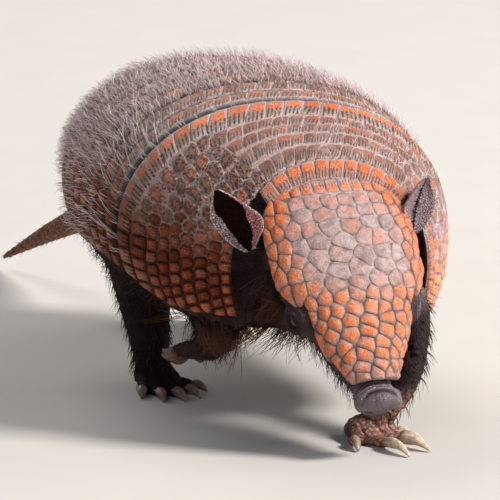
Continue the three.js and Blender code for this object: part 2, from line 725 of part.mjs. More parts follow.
addCarapace();
addNode( 'trunk', trunkGeometry(), SKIN );
addHead();
const trunkClearance = solidOf( trunkGeometry( 1.5 * GAP ) );
addNode( 'neck', geometryOf( solidOf( neckGeometry() ).subtract( trunkClearance ) ), SKIN );
const bodyClearance = trunkClearance.add( joined( [ carapaceClearance(), neckGeometry( GAP ) ] ) );
for ( const [ name, leg ] of Object.entries( LEGS ) ) addLeg( name, leg, bodyClearance );
const tail = solidOf( ringSolid( limbRings( TAIL, { sides: 10, count: 12 } ) ) );
addNode( 'tail', geometryOf( tail.subtract( bodyClearance ) ), SKIN );

const box = new THREE.Box3().setFromObject( armadillo );
const centre = box.getCenter( at( 0, 0, 0 ) );
armadillo.position.set( - centre.x, - centre.y, - box.min.z );

export default armadillo;
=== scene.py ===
"""Looks of a life-size six-banded armadillo: scutes, skin, claws, eyes and bristles.

Shapes are worked out in millimetres in the animal's own frame, where it faces -Y, its left side
is +X and the floor is z = 0. mesh_object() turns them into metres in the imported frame.
"""
import math
from functools import reduce
from types import SimpleNamespace

import bmesh
import bpy
import numpy as np
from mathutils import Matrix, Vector
from mathutils.bvhtree import BVHTree


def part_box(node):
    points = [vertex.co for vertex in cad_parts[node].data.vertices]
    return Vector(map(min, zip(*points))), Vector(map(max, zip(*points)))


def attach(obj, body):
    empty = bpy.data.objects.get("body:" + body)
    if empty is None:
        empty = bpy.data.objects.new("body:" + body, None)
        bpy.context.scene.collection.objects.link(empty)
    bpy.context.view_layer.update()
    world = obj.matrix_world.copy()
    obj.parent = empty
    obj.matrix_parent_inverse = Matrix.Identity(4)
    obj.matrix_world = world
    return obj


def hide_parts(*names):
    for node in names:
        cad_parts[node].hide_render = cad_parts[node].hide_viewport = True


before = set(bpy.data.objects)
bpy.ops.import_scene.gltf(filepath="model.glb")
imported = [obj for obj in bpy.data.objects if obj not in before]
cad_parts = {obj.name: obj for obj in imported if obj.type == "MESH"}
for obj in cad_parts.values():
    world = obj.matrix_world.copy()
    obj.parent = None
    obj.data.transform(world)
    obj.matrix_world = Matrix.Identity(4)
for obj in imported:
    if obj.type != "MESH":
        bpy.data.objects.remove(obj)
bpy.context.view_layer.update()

MM = 0.001
ROOT = "root"
rng = np.random.default_rng(11)

# ------------ the animal's sizes

# Arches of the carapace: run along the back, ridge y and z, half width, lower edge y and z.
CARAPACE = [
    (-12.5, -104.3, 136.3, 50, -115.6, 59.2), (-9, -102.5, 139, 52, -114, 60),
    (0, -98, 146, 57, -110, 62), (30, -70, 158, 80, -78, 60), (64, -38, 166, 94, -28, 69),
    (111, 9, 172, 96, 14, 73), (158, 56, 171, 92, 50, 74), (205, 101, 159, 79, 80, 74),
    (245, 134, 139, 67, 100, 73), (280, 149, 109, 58, 112, 72),
]
ARCH_ANGLE = math.radians(118)
ARCH_FULLNESS = 0.88
ARCH_SWEEP = 1.1
TYPICAL_ARCH = 30.0  # scutes are spaced by lengths along this arch
BODY_ROLL = math.radians(5.5)
ROLL_HEIGHT = 100
NUCHAL = (-11.4, -0.4)
NUCHAL_SPREAD = 0.39
SCAPULAR = (0.4, 62.2)
BANDS_START = 64
BAND_COUNT = 7
BAND_LENGTH = 13.5
PELVIC_START = BANDS_START + BAND_COUNT * BAND_LENGTH
CARAPACE_END = 279
TRUNK = (14, 274)
SKIN_INSET = 5.6
BREAST_BACKSET = 12
BREAST_LENGTH = 60

OCCIPUT = np.array([-1, -105.5, 134])
HEAD_PITCH = math.radians(57)
HEAD_AXIS = np.array([0, -math.cos(HEAD_PITCH), -math.sin(HEAD_PITCH)])
HEAD_UP = np.array([0, -math.sin(HEAD_PITCH), math.cos(HEAD_PITCH)])
SIDEWAYS = np.array([1.0, 0, 0])
HEAD_LENGTH = 124
NAPE_START = 4
THROAT_START = 52
HEAD_SHIELD_LENGTH = 112
UNDER_SHIELD = 5.0
CHIN_NARROWING = 0.32
NECK_START = np.array([0, -68, 104])
NECK_HALF_WIDTH = 41
NECK_HALF_HEIGHT = 35
EYE_RADIUS = 4.6
EYE_ALONG = 71
EYE_SIDE = 32
EYE_BELOW = -7
# Each ear: its root inside the head, base and tip, the way its scoop faces, the side of the scoop
# with the broad lobe, how grey it is and how far forward it sits.
EARS = [
    SimpleNamespace(root=(35, -106, 104), base=(46, -107, 103.8), tip=(55, -106, 133),
                    facing=(0.5, -0.85, 0.12), front=-1, grey=1, forward=0.6),
    SimpleNamespace(root=(-36, -107, 103), base=(-47.5, -107, 102.3), tip=(-65.5, -105, 136.1),
                    facing=(-0.62, -0.74, 0.12), front=1, grey=0, forward=2.2),
]
EAR_HALF_WIDTH = 13
EAR_THICKNESS = 1.8
EAR_DEPTH = 0.6

# Digits from the innermost outwards: place across the palm, turn in degrees, toe length, claw
# length, and how far the knuckle sits back or (below 0) forward.
FORE_DIGITS = [(-9, -34, 6, 14, -11), (-4.5, -9, 9, 23, 0), (1.5, 7, 9, 22, 0), (7, 16, 7, 14, -3),
               (10, 28, 5, 8, -8)]
HIND_DIGITS = [(-10, -24, 7, 9, -5), (-5, -9, 9, 12, 0), (0.5, 2, 10, 13, 1), (6, 13, 9, 11, -1),
               (10.5, 27, 6, 8, -6)]
FORE_PALM = SimpleNamespace(length=27, half_width=13, height=13)
HIND_PALM = SimpleNamespace(length=34, half_width=12.5, height=13)
TOE_RADIUS = 3.4
TOE_AXIS = 2.8
TOE_OVERLAP = 6
CLAW_HALF_WIDTH = 2.9
CLAW_HEIGHT = 2.9
CLAW_POINT = 0.26

# Limb stations: x, y, z, half width, half depth. Then the sole's centre, its turn outwards and its
# fold back, in degrees.
LEGS = {
    "front_left": SimpleNamespace(
        limb=[(42, -72, 84, 16, 22), (45, -93, 70, 13, 16), (42, -116, 56, 10, 13),
              (31, -133, 33, 8.5, 11.5), (15, -131, 12, 9, 10)],
        sole=(10, -131, 0), turn=20, fold=0, digits=FORE_DIGITS, palm=FORE_PALM, outward=1),
    "front_right": SimpleNamespace(
        limb=[(-44, -66, 92, 16, 22), (-48, -72, 71, 14, 20), (-50, -66, 55, 12, 15),
              (-48, -55, 44, 10, 11), (-46, -46, 38, 9, 9)],
        sole=(-46, -38, 39), turn=0, fold=155, digits=FORE_DIGITS, palm=FORE_PALM, outward=-1),
    "hind_right": SimpleNamespace(
        limb=[(-48, 66, 98, 20, 30), (-56, 35, 74, 18, 26), (-56, 25, 46, 14, 21),
              (-54, 22, 24, 11, 15), (-52, 23, 10, 10, 11)],
        sole=(-52, 18, 0), turn=-4, fold=0, digits=HIND_DIGITS, palm=HIND_PALM, outward=-1),
    "hind_left": SimpleNamespace(
        limb=[(44, 84, 98, 20, 30), (50, 84, 72, 17, 25), (42, 108, 46, 13, 17),
              (29, 133, 24, 10, 12), (26, 137, 10, 9, 9)],
        sole=(25, 131, 0), turn=4, fold=0, digits=HIND_DIGITS, palm=HIND_PALM, outward=1),
}
TAIL = [(0, 118, 100, 18, 18), (0, 150, 86, 16, 16), (-3, 190, 68, 12, 12), (-9, 232, 48, 9, 9),
        (-19, 275, 28, 6, 6), (-31, 317, 6, 2.6, 2.6)]

# ------------ curves and surfaces


def profile(stations):
    """Smooth curve through (place, value) stations that never swings past them."""
    x, y = np.array(stations, float).T
    rise = np.diff(y) / np.diff(x)
    slope = np.concatenate([rise[:1], np.zeros(len(x) - 2), rise[-1:]])
    for i in range(1, len(x) - 1):
        if rise[i - 1] * rise[i] > 0:
            slope[i] = 2 * rise[i - 1] * rise[i] / (rise[i - 1] + rise[i])

    def value(place):
        p = np.clip(place, x[0], x[-1])
        i = np.clip(np.searchsorted(x, p, side="right") - 1, 0, len(x) - 2)
        h = x[i + 1] - x[i]
        t = (p - x[i]) / h
        t2, t3 = t * t, t * t * t
        return ((2 * t3 - 3 * t2 + 1) * y[i] + (t3 - 2 * t2 + t) * h * slope[i]
                + (3 * t2 - 2 * t3) * y[i + 1] + (t3 - t2) * h * slope[i + 1])

    return value


def ease(value, low, high):
    """Smooth step from 0 at low to 1 at high; low may be the greater."""
    t = np.clip((value - low) / (high - low), 0, 1)
    return t * t * (3 - 2 * t)


def mix(a, b, t):
    return a + (b - a) * t


def unit(vectors):
    return vectors / np.maximum(np.linalg.norm(vectors, axis=-1, keepdims=True), 1e-9)


def moved(points, *steps):
    """Points moved by steps, each a direction, or one for every point, and how far to go."""
    for direction, amount in steps:
        points = points + direction * np.asarray(amount)[..., None]
    return points


def turns(count):
    """Angles of count points round a ring."""
    return np.arange(count) / count * 2 * np.pi


def ripple(points, size, seed):
    """Soft noise round 0 made of sine waves in random directions, about size mm long."""
    waves = np.random.default_rng(seed)
    total = np.zeros(points.shape[:-1])
    for _ in range(6):
        direction = unit(waves.normal(size=3))
        total += np.sin(points @ direction * (2 * np.pi / size / waves.uniform(0.6, 1.6))
                        + waves.uniform(0, 2 * np.pi))
    return total / 3


ridge_y, ridge_z, half_width, edge_y, edge_z = (
    profile([(station[0], station[k]) for station in CARAPACE]) for k in range(1, 6))


def carapace_point(run, across):
    """Outer face of the carapace; across runs from -1 on the right flank to 1 on the left."""
    angle = across * ARCH_ANGLE
    drop = (1 - np.cos(angle)) / (1 - math.cos(ARCH_ANGLE))
    side = np.sign(angle) * np.abs(np.sin(angle)) ** ARCH_FULLNESS
    x = half_width(run) * side
    y = mix(ridge_y(run), edge_y(run), drop ** ARCH_SWEEP)
    z = mix(ridge_z(run), edge_z(run), drop) - ROLL_HEIGHT
    cos, sin = math.cos(BODY_ROLL), math.sin(BODY_ROLL)
    return np.stack([x * cos + z * sin, y, z * cos - x * sin + ROLL_HEIGHT], axis=-1)


def arch_length(run):
    """Length of half an arch, from its ridge to its lower edge."""
    points = carapace_point(np.full(200, float(run)), np.linspace(0, 1, 200))
    return np.linalg.norm(np.diff(points, axis=0), axis=1).sum()


crown = profile([(0, 0), (22, 6.5), (50, 9.5), (75, 9), (96, 7.5), (112, 6.5), (118, 6.5),
                 (HEAD_LENGTH, 3)])
cheek = profile([(0, 39), (14, 42), (30, 43.5), (50, 42.5), (62, 38.5), (72, 32.5), (84, 27),
                 (98, 20), (110, 14.5), (118, 13.5), (HEAD_LENGTH, 9)])
crown_rise = profile([(0, 14), (48, 16), (72, 13.5), (98, 10.5), (118, 8), (HEAD_LENGTH, 6)])
jaw = profile([(32, -44), (THROAT_START, -43), (75, -38), (96, -30), (110, -21), (118, -13.5),
               (HEAD_LENGTH, -8.5)])
shield_half_width = profile([(0, 25), (5, 34), (14, 40), (30, 42.5), (50, 42), (61, 38), (67, 30.5),
                             (84, 26.5), (98, 20), (HEAD_SHIELD_LENGTH, 13)])
flesh_inset = profile([(0, UNDER_SHIELD), (HEAD_SHIELD_LENGTH + 1, UNDER_SHIELD),
                       (HEAD_SHIELD_LENGTH + 6, 0)])
shield_cover = profile([(0, 1), (1.6, 1), (1.9, 0), (math.pi, 0)])


def head_point(along, turn, inset=0.0):
    """Point on the head; turn goes round from 0 at the crown, inset goes under the surface."""
    rise = np.cos(turn)
    widest = crown(along) - crown_rise(along)
    height = np.where(rise > 0, crown_rise(along), widest - jaw(along))
    narrowing = np.where(rise > 0, 1, 1 + CHIN_NARROWING * rise)
    side = (cheek(along) - inset) * np.sin(turn) * narrowing
    up = widest + (height - inset) * rise
    return moved(OCCIPUT, (HEAD_AXIS, along), (HEAD_UP, up), (SIDEWAYS, side))


def shield_reach(along):
    """Turn from the crown to the head shield's edge."""
    return np.arcsin(np.minimum(0.995, shield_half_width(along) / cheek(along)))


arch_places = np.linspace(-1, 1, 401)
arch_points = carapace_point(np.full_like(arch_places, TYPICAL_ARCH), arch_places)
arch_steps = np.linalg.norm(np.diff(arch_points, axis=0), axis=1)
arch_shares = np.concatenate([[0], np.cumsum(arch_steps)]) / arch_steps.sum() * 2 - 1


def share_of(q):
    """Share of the half arch's length that q stands for."""
    return np.interp(q, arch_places, arch_shares)


def across_of(share):
    """The q at a share of the half arch's length."""
    return np.interp(share, arch_shares, arch_places)


# A plated surface has a point for each s along it and q across it, the sign that turns its normal
# outwards, the slant of its scutes, the greatest q at s, and the millimetres a unit of q spans.
BACK = SimpleNamespace(
    point=carapace_point, outward=1, slant=0.46, reach=lambda run: np.ones_like(run),
    scale=profile([(station[0], arch_length(station[0])) for station in CARAPACE]))
NAPE = SimpleNamespace(point=carapace_point, outward=1, slant=0.15, scale=BACK.scale,
                       reach=lambda run: np.full_like(run, NUCHAL_SPREAD))
CROWN = SimpleNamespace(point=head_point, outward=-1, slant=0, reach=shield_reach, scale=cheek)


def tangents(surface, s, q):
    """Steps of a millimetre along and across a surface."""
    step = 0.5 / surface.scale(s)
    along = surface.point(s + 0.5, q) - surface.point(s - 0.5, q)
    over = surface.point(s, q + step) - surface.point(s, q - step)
    return along, over


def normals_of(surface, s, q):
    along, over = tangents(surface, s, q)
    return unit(np.cross(over, along)) * surface.outward


def lifted(surface, s, q, height):
    """Points at a height over the surface."""
    return moved(surface.point(s, q), (normals_of(surface, s, q), height))


scute_slant = profile([(-1, 0), (-0.85, 0.1), (-0.45, 1), (-0.1, 0.9), (0.25, 0.2), (0.6, -0.5),
                       (1, 0)])


def lean_of(surface, s, q):
    """How many mm across a scute's sides go for each mm of s: square to its row, and then
    slanted, because the back is slightly twisted as it walks."""
    along, over = tangents(surface, s, q)
    square = -(along * over).sum(axis=-1) / (over * over).sum(axis=-1)
    return square + surface.slant * scute_slant(q)


# ------------ meshes


def eye_centre(side):
    return OCCIPUT + HEAD_AXIS * EYE_ALONG + HEAD_UP * EYE_BELOW + SIDEWAYS * side * EYE_SIDE


eye_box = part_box("eye_left")
FRAME_SHIFT = (np.array(eye_box[0]) + np.array(eye_box[1])) / 2 / MM - eye_centre(1)


def joined(width, *tables):
    """The tables joined as rows of width numbers."""
    return np.concatenate([np.reshape(table, (-1, width)) for table in tables])


def patch(points, faces, looks=None, place=None, uv=None):
    """Part of a mesh. Faces are tables of corners; looks and place are four numbers a point for
    its material, uv its spot on the unwrap."""
    points = np.asarray(points, float).reshape(-1, 3)
    blank = np.zeros((len(points), 4))
    return SimpleNamespace(
        points=points, faces=[np.asarray(face, int) for face in faces],
        looks=blank if looks is None else np.reshape(looks, (-1, 4)),
        place=blank if place is None else np.reshape(place, (-1, 4)),
        uv=blank[:, :2] if uv is None else np.reshape(uv, (-1, 2)))


def point_numbers(mesh, label, numbers):
    """Stores four numbers for each point under a label."""
    attribute = mesh.attributes.new(label, "FLOAT_COLOR", "POINT")
    attribute.data.foreach_set("color", numbers.ravel())


def mesh_object(name, patches, unwrapped=True):
    """One object from patches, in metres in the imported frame."""
    offsets = np.cumsum([0] + [len(part.points) for part in patches])
    faces = [face + offset for part, offset in zip(patches, offsets) for face in part.faces]
    loops = np.concatenate([face.ravel() for face in faces])
    sizes = np.concatenate([np.full(len(face), face.shape[1]) for face in faces])
    points = (np.concatenate([part.points for part in patches]) + FRAME_SHIFT) * MM
    mesh = bpy.data.meshes.new(name)
    mesh.vertices.add(len(points))
    mesh.vertices.foreach_set("co", points.ravel())
    mesh.loops.add(len(loops))
    mesh.loops.foreach_set("vertex_index", loops)
    mesh.polygons.add(len(sizes))
    mesh.polygons.foreach_set("loop_start", np.concatenate([[0], np.cumsum(sizes)[:-1]]))
    mesh.update(calc_edges=True)
    mesh.shade_smooth()
    point_numbers(mesh, "looks", np.concatenate([part.looks for part in patches]))
    point_numbers(mesh, "place", np.concatenate([part.place for part in patches]))
    if unwrapped:
        uv = np.concatenate([part.uv for part in patches])
        layer = mesh.uv_layers.new(name="OFBake")
        layer.data.foreach_set("uv", uv[loops].ravel())
    piece = bpy.data.objects.new(name, mesh)
    bpy.context.collection.objects.link(piece)
    return piece


def grid_faces(rows, columns, closed=False):
    """Quads of a grid of points; closed joins its last column to its first."""
    i, j = np.meshgrid(np.arange(rows - 1), np.arange(columns - (not closed)), indexing="ij")
    i, j = i.ravel(), j.ravel()
    following = (j + 1) % columns
    return np.stack([i * columns + j, i * columns + following,
                     (i + 1) * columns + following, (i + 1) * columns + j], axis=1)


def ring_patch(rings, looks=None, place=None):
    """Closed solid over rings of points, with a fan at each end."""
    count, size = rings.shape[:2]
    points = joined(3, rings, rings[[0, -1]].mean(axis=1))
    k = np.arange(size)
    following = (k + 1) % size
    start, end = np.full(size, count * size), np.full(size, count * size + 1)
    last = (count - 1) * size
    fans = np.concatenate([np.stack([start, following, k], 1),
                           np.stack([end, last + k, last + following], 1)])
    capped = [numbers if numbers is None else joined(4, numbers, numbers[[0, -1], 0])
              for numbers in (looks, place)]
    return patch(points, [grid_faces(count, size, closed=True), fans], *capped)


def finish_piece(piece, material, slot, *nodes):
    """Gives the piece its material and hides the CAD nodes that it replaces; slot is not used."""
    piece.data.materials.append(material)
    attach(piece, ROOT)
    if nodes:
        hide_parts(*nodes)
    return piece


# ------------ materials

# Colours as linear red, green and blue. A pair of them goes from a pattern's dark places to its
# light ones, or, on an ear, from its plain parts to its red ones.
DUST = ((0.68, 0.135, 0.023), (0.89, 0.23, 0.05))
PIT = (0.05, 0.02, 0.02)
SEAM_SKIN = (0.072, 0.070, 0.088)
BODY_SKIN = ((0.030, 0.014, 0.018), (0.062, 0.031, 0.037))
FOOT_SKIN = ((0.20, 0.09, 0.075), (0.66, 0.33, 0.26))
TAIL_SKIN = ((0.17, 0.055, 0.024), (0.33, 0.120, 0.055))
NOSE_SKIN = ((0.075, 0.055, 0.065), (0.16, 0.12, 0.135))
# Painted shade: the colour the skin turns to where it lies in shade.
PAINTED_SHADE_SKIN = (0.010, 0.005, 0.004)
SKIN_GAPS = (0.055, 0.022, 0.018)
EAR_BEADS = ((0.92, 0.72, 0.72), (0.86, 0.34, 0.32))
EAR_BEADS_GREY = (0.42, 0.32, 0.36)
EAR_GAPS = ((0.20, 0.10, 0.11), (0.15, 0.035, 0.035))
# Painted shade deep in an ear's hollow.
EAR_HOLLOW_SHADE = ((0.005, 0.002, 0.002), (0.022, 0.006, 0.006))
HORN = ((0.52, 0.38, 0.26), (0.88, 0.76, 0.60))
HORN_ROOT = (0.14, 0.06, 0.04)
HORN_DIRT = (0.30, 0.12, 0.07)
# Colour of the darker claws; on the right feet this is painted shade.
DARK_HORN = (0.10, 0.045, 0.03)
IRIS = ((0.035, 0.014, 0.008), (0.09, 0.04, 0.02))
PUPIL = (0.003, 0.003, 0.004)
EYE_RIM = (0.02, 0.016, 0.018)
FLOOR = ((0.62, 0.59, 0.56), (0.66, 0.63, 0.60))
# Warmth turns darker tones redder: partly red soil dust, partly painted red light bounced from the soil
# into the shade.
SHELL_LOOK = SimpleNamespace(
    mortar=(0.56, 0.41, 0.385), plain=((0.12, 0.058, 0.048), (0.36, 0.22, 0.19)),
    roughness=0.46, one_sided=0.0, warmth=1.75, depth=0.7, smooth=0.0)
HEAD_LOOK = SimpleNamespace(
    mortar=(0.30, 0.225, 0.23), plain=((0.25, 0.17, 0.18), (0.54, 0.395, 0.375)),
    roughness=0.24, one_sided=0.3, warmth=1.25, depth=0.5, smooth=1.0)
# Each kind of hair: colour at the root and at the tip, and shine.
WHITE_HAIR = ((0.45, 0.38, 0.36), (0.86, 0.80, 0.76), 0.35)
FUZZ = ((0.10, 0.06, 0.058), (0.86, 0.70, 0.70), 0.35)
# Very dark hair of the underside, legs and under the head: the darkness is painted shade.
DARK_HAIR = ((0.012, 0.006, 0.005), (0.045, 0.018, 0.012), 0.18)
BROWN_HAIR = ((0.02, 0.008, 0.005), (0.13, 0.042, 0.02), 0.18)


class Value:
    """What a node of a material gives; arithmetic with it adds nodes."""

    def __init__(self, finish, socket):
        self.finish = finish
        self.socket = socket

    def __add__(self, other):
        return self.finish.math("ADD", self, other)

    def __sub__(self, other):
        return self.finish.math("SUBTRACT", self, other)

    def __rsub__(self, other):
        return self.finish.math("SUBTRACT", other, self)

    def __mul__(self, other):
        return self.finish.math("MULTIPLY", self, other)


class Finish:
    """A Principled material whose colour, roughness and bump come from patterns."""

    def __init__(self, name, **constants):
        self.material = bpy.data.materials.new(name)
        self.material.use_nodes = True
        self.tree = self.material.node_tree
        self.shader = self.tree.nodes["Principled BSDF"]
        for socket, value in constants.items():
            self.shader.inputs[socket.replace("_", " ")].default_value = value
        self.spot = self.add("TexCoord", "Object")

    def add(self, kind, output, links=(), **settings):
        """A node's output. Its sockets are linked to values or set to constants."""
        node = self.tree.nodes.new("ShaderNode" + kind)
        for name, value in settings.items():
            setattr(node, name, value)
        for socket, value in dict(links).items():
            self.join(value, node.inputs[socket])
        return Value(self, node.outputs[output])

    def join(self, value, socket):
        """Links a value to a socket, or sets the socket to a constant."""
        if isinstance(value, Value):
            self.tree.links.new(value.socket, socket)
        else:
            socket.default_value = value

    def numbers(self, label):
        """The four numbers that each point has under a label."""
        colour = self.add("Attribute", "Color", attribute_name=label)
        split = self.add("SeparateColor", 0, {"Color": colour})
        sockets = [*split.socket.node.outputs, colour.socket.node.outputs["Alpha"]]
        return [Value(self, socket) for socket in sockets]

    def noise(self, size, detail=3.0):
        """Noise from 0 to 1 with features about size mm across."""
        return self.add("TexNoise", "Fac", {"Vector": self.spot, "Scale": 1 / (size * MM),
                                            "Detail": detail, "Roughness": 0.55})

    def cells(self, size, feature="DISTANCE_TO_EDGE"):
        """Distance from the edges of cells of size mm or, with the feature F1, from their middles."""
        return self.add("TexVoronoi", "Distance", {"Vector": self.spot, "Scale": 1 / (size * MM)},
                        feature=feature)

    def math(self, operation, a, b=0.0):
        return self.add("Math", 0, {0: a, 1: b}, operation=operation)

    def larger(self, a, b):
        return self.math("MAXIMUM", a, b)

    def span(self, value, low, high, start=0.0, end=1.0):
        """Value eased from start to end as it goes from low to high."""
        limits = {"From Min": low, "From Max": high, "To Min": start, "To Max": end}
        return self.add("MapRange", "Result", {"Value": value, **limits},
                        interpolation_type="SMOOTHSTEP")

    def blend(self, factor, a, b, how="MIX"):
        """Colour a turned into b by the factor."""
        a, b = ((*c, 1) if isinstance(c, tuple) else c for c in (a, b))
        return self.add("Mix", 2, {0: factor, 6: a, 7: b}, data_type="RGBA", blend_type=how)

    def layered(self, colour, *layers):
        """The colour under layers, each with how much it covers and its own colour."""
        return reduce(lambda below, layer: self.blend(layer[0], below, layer[1]), layers, colour)

    def shaded(self, colour, *shades):
        """The colour with its red, green and blue multiplied by shades."""
        shade = self.add("CombineColor", 0, dict(enumerate(shades)))
        return self.blend(1.0, colour, shade, "MULTIPLY")

    def blend_value(self, factor, a, b):
        return self.add("Mix", 0, {0: factor, 2: a, 3: b}, data_type="FLOAT")

    def done(self, colour, roughness, height, depth, specular=None):
        """Joins the patterns to the shader; depth is the bump's height in mm."""
        bump = self.add("Bump", "Normal", {"Height": height, "Distance": depth * MM, "Strength": 1.0})
        patterns = {"Base Color": colour, "Roughness": roughness, "Normal": bump}
        if specular is not None:
            patterns["Specular IOR Level"] = specular
        for socket, value in patterns.items():
            self.join(value, self.shader.inputs[socket])
        return self.material


def pitted(finish, place, furrowed):
    """Dark pits of a scute: grooves along its front part, or grains round its middle figure.
    Gives their darkness and how much of the scute they leave to its raised boss."""
    a, b, grainy, turn = place
    wander, ragged = finish.noise(1.6, 2.0) - 0.5, finish.noise(3.2, 2.0) - 0.5
    across = b * 13.0 + wander * 2.6 + turn * 6.0
    ahead = a + ragged * 0.9
    groove = (finish.span(finish.math("COSINE", across), 0.0, 0.65)
              * finish.span(ahead, 0.16, -0.06) * finish.span(ahead, -0.98, -0.78)
              * finish.span(finish.noise(1.9), 0.32, 0.5))
    out = finish.math("SQRT", a * a + b * b) + ragged * 0.7
    grain = finish.span(finish.cells(2.1, "F1"), 0.52, 0.3) * finish.span(out, 0.12, 0.4)
    ring = finish.span(finish.math("ABSOLUTE", out - 0.56), 0.15, 0.03)
    dark = finish.larger(groove * furrowed, finish.larger(grain, ring * 0.6) * grainy)
    rear = finish.blend_value(furrowed, 1.0, finish.span(ahead, -0.25, 0.12))
    middle = finish.blend_value(grainy, 1.0, finish.span(out, 0.95, 0.5))
    return dark, rear * middle


def lopsided(finish, place):
    """From 0 to 1 across a scute, in a direction of its own."""
    a, b, _, turn = place
    angle = turn * (2 * math.pi)
    lean = a * finish.math("COSINE", angle) + b * finish.math("SINE", angle)
    return finish.span(lean, -0.7, 0.35)


def scute_material(name, look):
    """Horny scutes dusted with orange soil. Looks: orange, furrows, rim, tone. Place: along and
    across the scute, grains, chance. Seam: bare skin."""
    finish = Finish(name, Specular_IOR_Level=0.45)
    orange, furrowed, rim, tone = finish.numbers("looks")
    place = finish.numbers("place")
    pit, boss = pitted(finish, place, furrowed)
    broad, patchy, fine = finish.noise(9), finish.noise(3.4), finish.noise(1.1)
    grain = finish.noise(0.5, 4.0)
    mottle = finish.blend_value(0.6, finish.span(broad, 0.3, 0.7), finish.span(patchy, 0.35, 0.65))
    dusty = orange * boss * finish.span(patchy, 0.26, 0.46, mix(0.35, 0.8, look.smooth), 1.0)
    if look.one_sided:
        dusty = dusty * finish.span(lopsided(finish, place), 0, 1, 1 - look.one_sided, 1)
    colour = finish.layered(
        finish.blend(mottle, *look.plain),
        (dusty, finish.blend(finish.span(fine, 0.3, 0.7), *DUST)),
        ((1.0 - boss) * 0.32, look.mortar),
        (rim * finish.span(fine, 0.3, 0.6, 0.65, 1.0), look.mortar),
        (pit * 0.93, PIT),
        (finish.numbers("seam")[0], SEAM_SKIN))
    speckle = finish.span(grain, 0.3, 0.7, mix(0.72, 0.88, look.smooth), mix(1.22, 1.1, look.smooth))
    # Tone darkens or lightens each scute; on the flanks and on the head's right side it holds painted
    # shade and light. Darker tones also turn redder: partly red soil dust, partly painted red light
    # bounced from the soil.
    shade = tone * speckle
    colour = finish.shaded(colour, shade, finish.math("POWER", shade, look.warmth),
                           finish.math("POWER", shade, 1.4 * look.warmth))
    rough = finish.span(fine, 0.2, 0.8, look.roughness - 0.1, look.roughness + 0.12)
    relief = grain * 0.7 - pit + fine * 0.9
    return finish.done(colour, rough, relief, look.depth, finish.span(tone, 0.5, 0.85, 0.1, 0.45))


def skin_material():
    """Bare skin. Looks: nose, red, ear, scaly. Place: redness of the tail or of an ear, painted shade
    in an ear's hollow, grey, and painted shade that darkens the skin."""
    finish = Finish("armadillo_skin", Specular_IOR_Level=0.4)
    nose, red, ear, scaly = finish.numbers("looks")
    redness, hollow, grey, painted_shade = finish.numbers("place")
    broad, fine = finish.noise(12), finish.noise(1.6, 4.0)
    blotches, freckles = finish.span(broad, 0.3, 0.7), finish.span(fine, 0.3, 0.7)
    beads = finish.span(finish.cells(1.35), 0.02, 0.17)
    plates = finish.span(finish.cells(3.2), 0.02, 0.3)
    # Hollow is painted shade deep in an ear's scoop.
    hollow = finish.span(hollow - beads * 0.35, 0.12, 0.5)
    pale_beads = finish.blend(grey, finish.blend(redness, *EAR_BEADS), EAR_BEADS_GREY)
    ear_colour = finish.layered(finish.blend(redness, *EAR_GAPS), (beads, pale_beads),
                                (hollow, finish.blend(beads, *EAR_HOLLOW_SHADE)))
    # The last layer is painted shade, very dark, where the skin lies in shade.
    colour = finish.layered(
        finish.blend(blotches, *BODY_SKIN),
        (red, finish.blend(freckles, *FOOT_SKIN)),
        (redness, finish.blend(freckles, *TAIL_SKIN)),
        (ear, ear_colour),
        (nose, finish.blend(blotches, *NOSE_SKIN)),
        (painted_shade * 0.88, PAINTED_SHADE_SKIN))
    colour = finish.blend(scaly, colour, finish.blend(plates, SKIN_GAPS, colour))
    rough = finish.larger(finish.span(nose, 0, 1, 0.68, 0.25), hollow)
    creases = finish.span(finish.cells(1.5), 0.0, 0.25) * 0.6
    relief = creases + fine * finish.span(scaly, 0, 1, 1, 0.3) + plates * scaly + beads * (ear - hollow)
    relief = relief * finish.span(nose, 0, 1, 1, 0.45) * finish.span(red, 0, 1, 1, 0.5)
    matt = finish.larger(hollow, painted_shade * 0.7)
    return finish.done(colour, rough, relief, 0.5, finish.span(matt, 0, 1, 0.4, 0.03))


def claw_material():
    """Horn. Looks: distance from the root, dirt, and darkness, which on the right feet is painted
    shade.
    """
    finish = Finish("armadillo_claw", Specular_IOR_Level=0.5)
    out, dirt, dark, _ = finish.numbers("looks")
    streaks, fine = finish.noise(2.0, 4.0), finish.noise(0.8)
    horn = finish.blend(finish.span(streaks, 0.3, 0.75), *HORN)
    colour = finish.layered(HORN_ROOT, (finish.span(out, 0.0, 0.3), horn),
                            (dirt * 0.5, HORN_DIRT), (dark * 0.8, DARK_HORN))
    return finish.done(colour, finish.span(fine, 0.2, 0.8, 0.3, 0.5), streaks, 0.15)


def eye_material():
    """Dark eye. Looks: angle from the pupil's middle."""
    finish = Finish("armadillo_eye", Specular_IOR_Level=0.45, Coat_Weight=0.35, Coat_Roughness=0.05)
    out = finish.numbers("looks")[0]
    streaks = finish.noise(0.5)
    colour = finish.layered(PUPIL, (finish.span(out, 0.3, 0.38), finish.blend(streaks, *IRIS)),
                            (finish.span(out, 0.62, 0.8), EYE_RIM))
    return finish.done(colour, finish.span(streaks, 0, 1, 0.08, 0.14), streaks, 0.01)


def hair_material(name, root, tip, shine):
    """Hair. Looks: distance from the root, tone."""
    finish = Finish(name, Specular_IOR_Level=shine)
    out, tone, _, _ = finish.numbers("looks")
    shade = finish.span(tone, 0, 1, 0.5, 1.35)
    colour = finish.shaded(finish.blend(finish.span(out, 0.0, 0.55), root, tip), shade, shade, shade)
    fine = finish.noise(0.6)
    return finish.done(colour, finish.span(fine, 0, 1, 0.45, 0.65), fine, 0.02)


# ------------ scutes

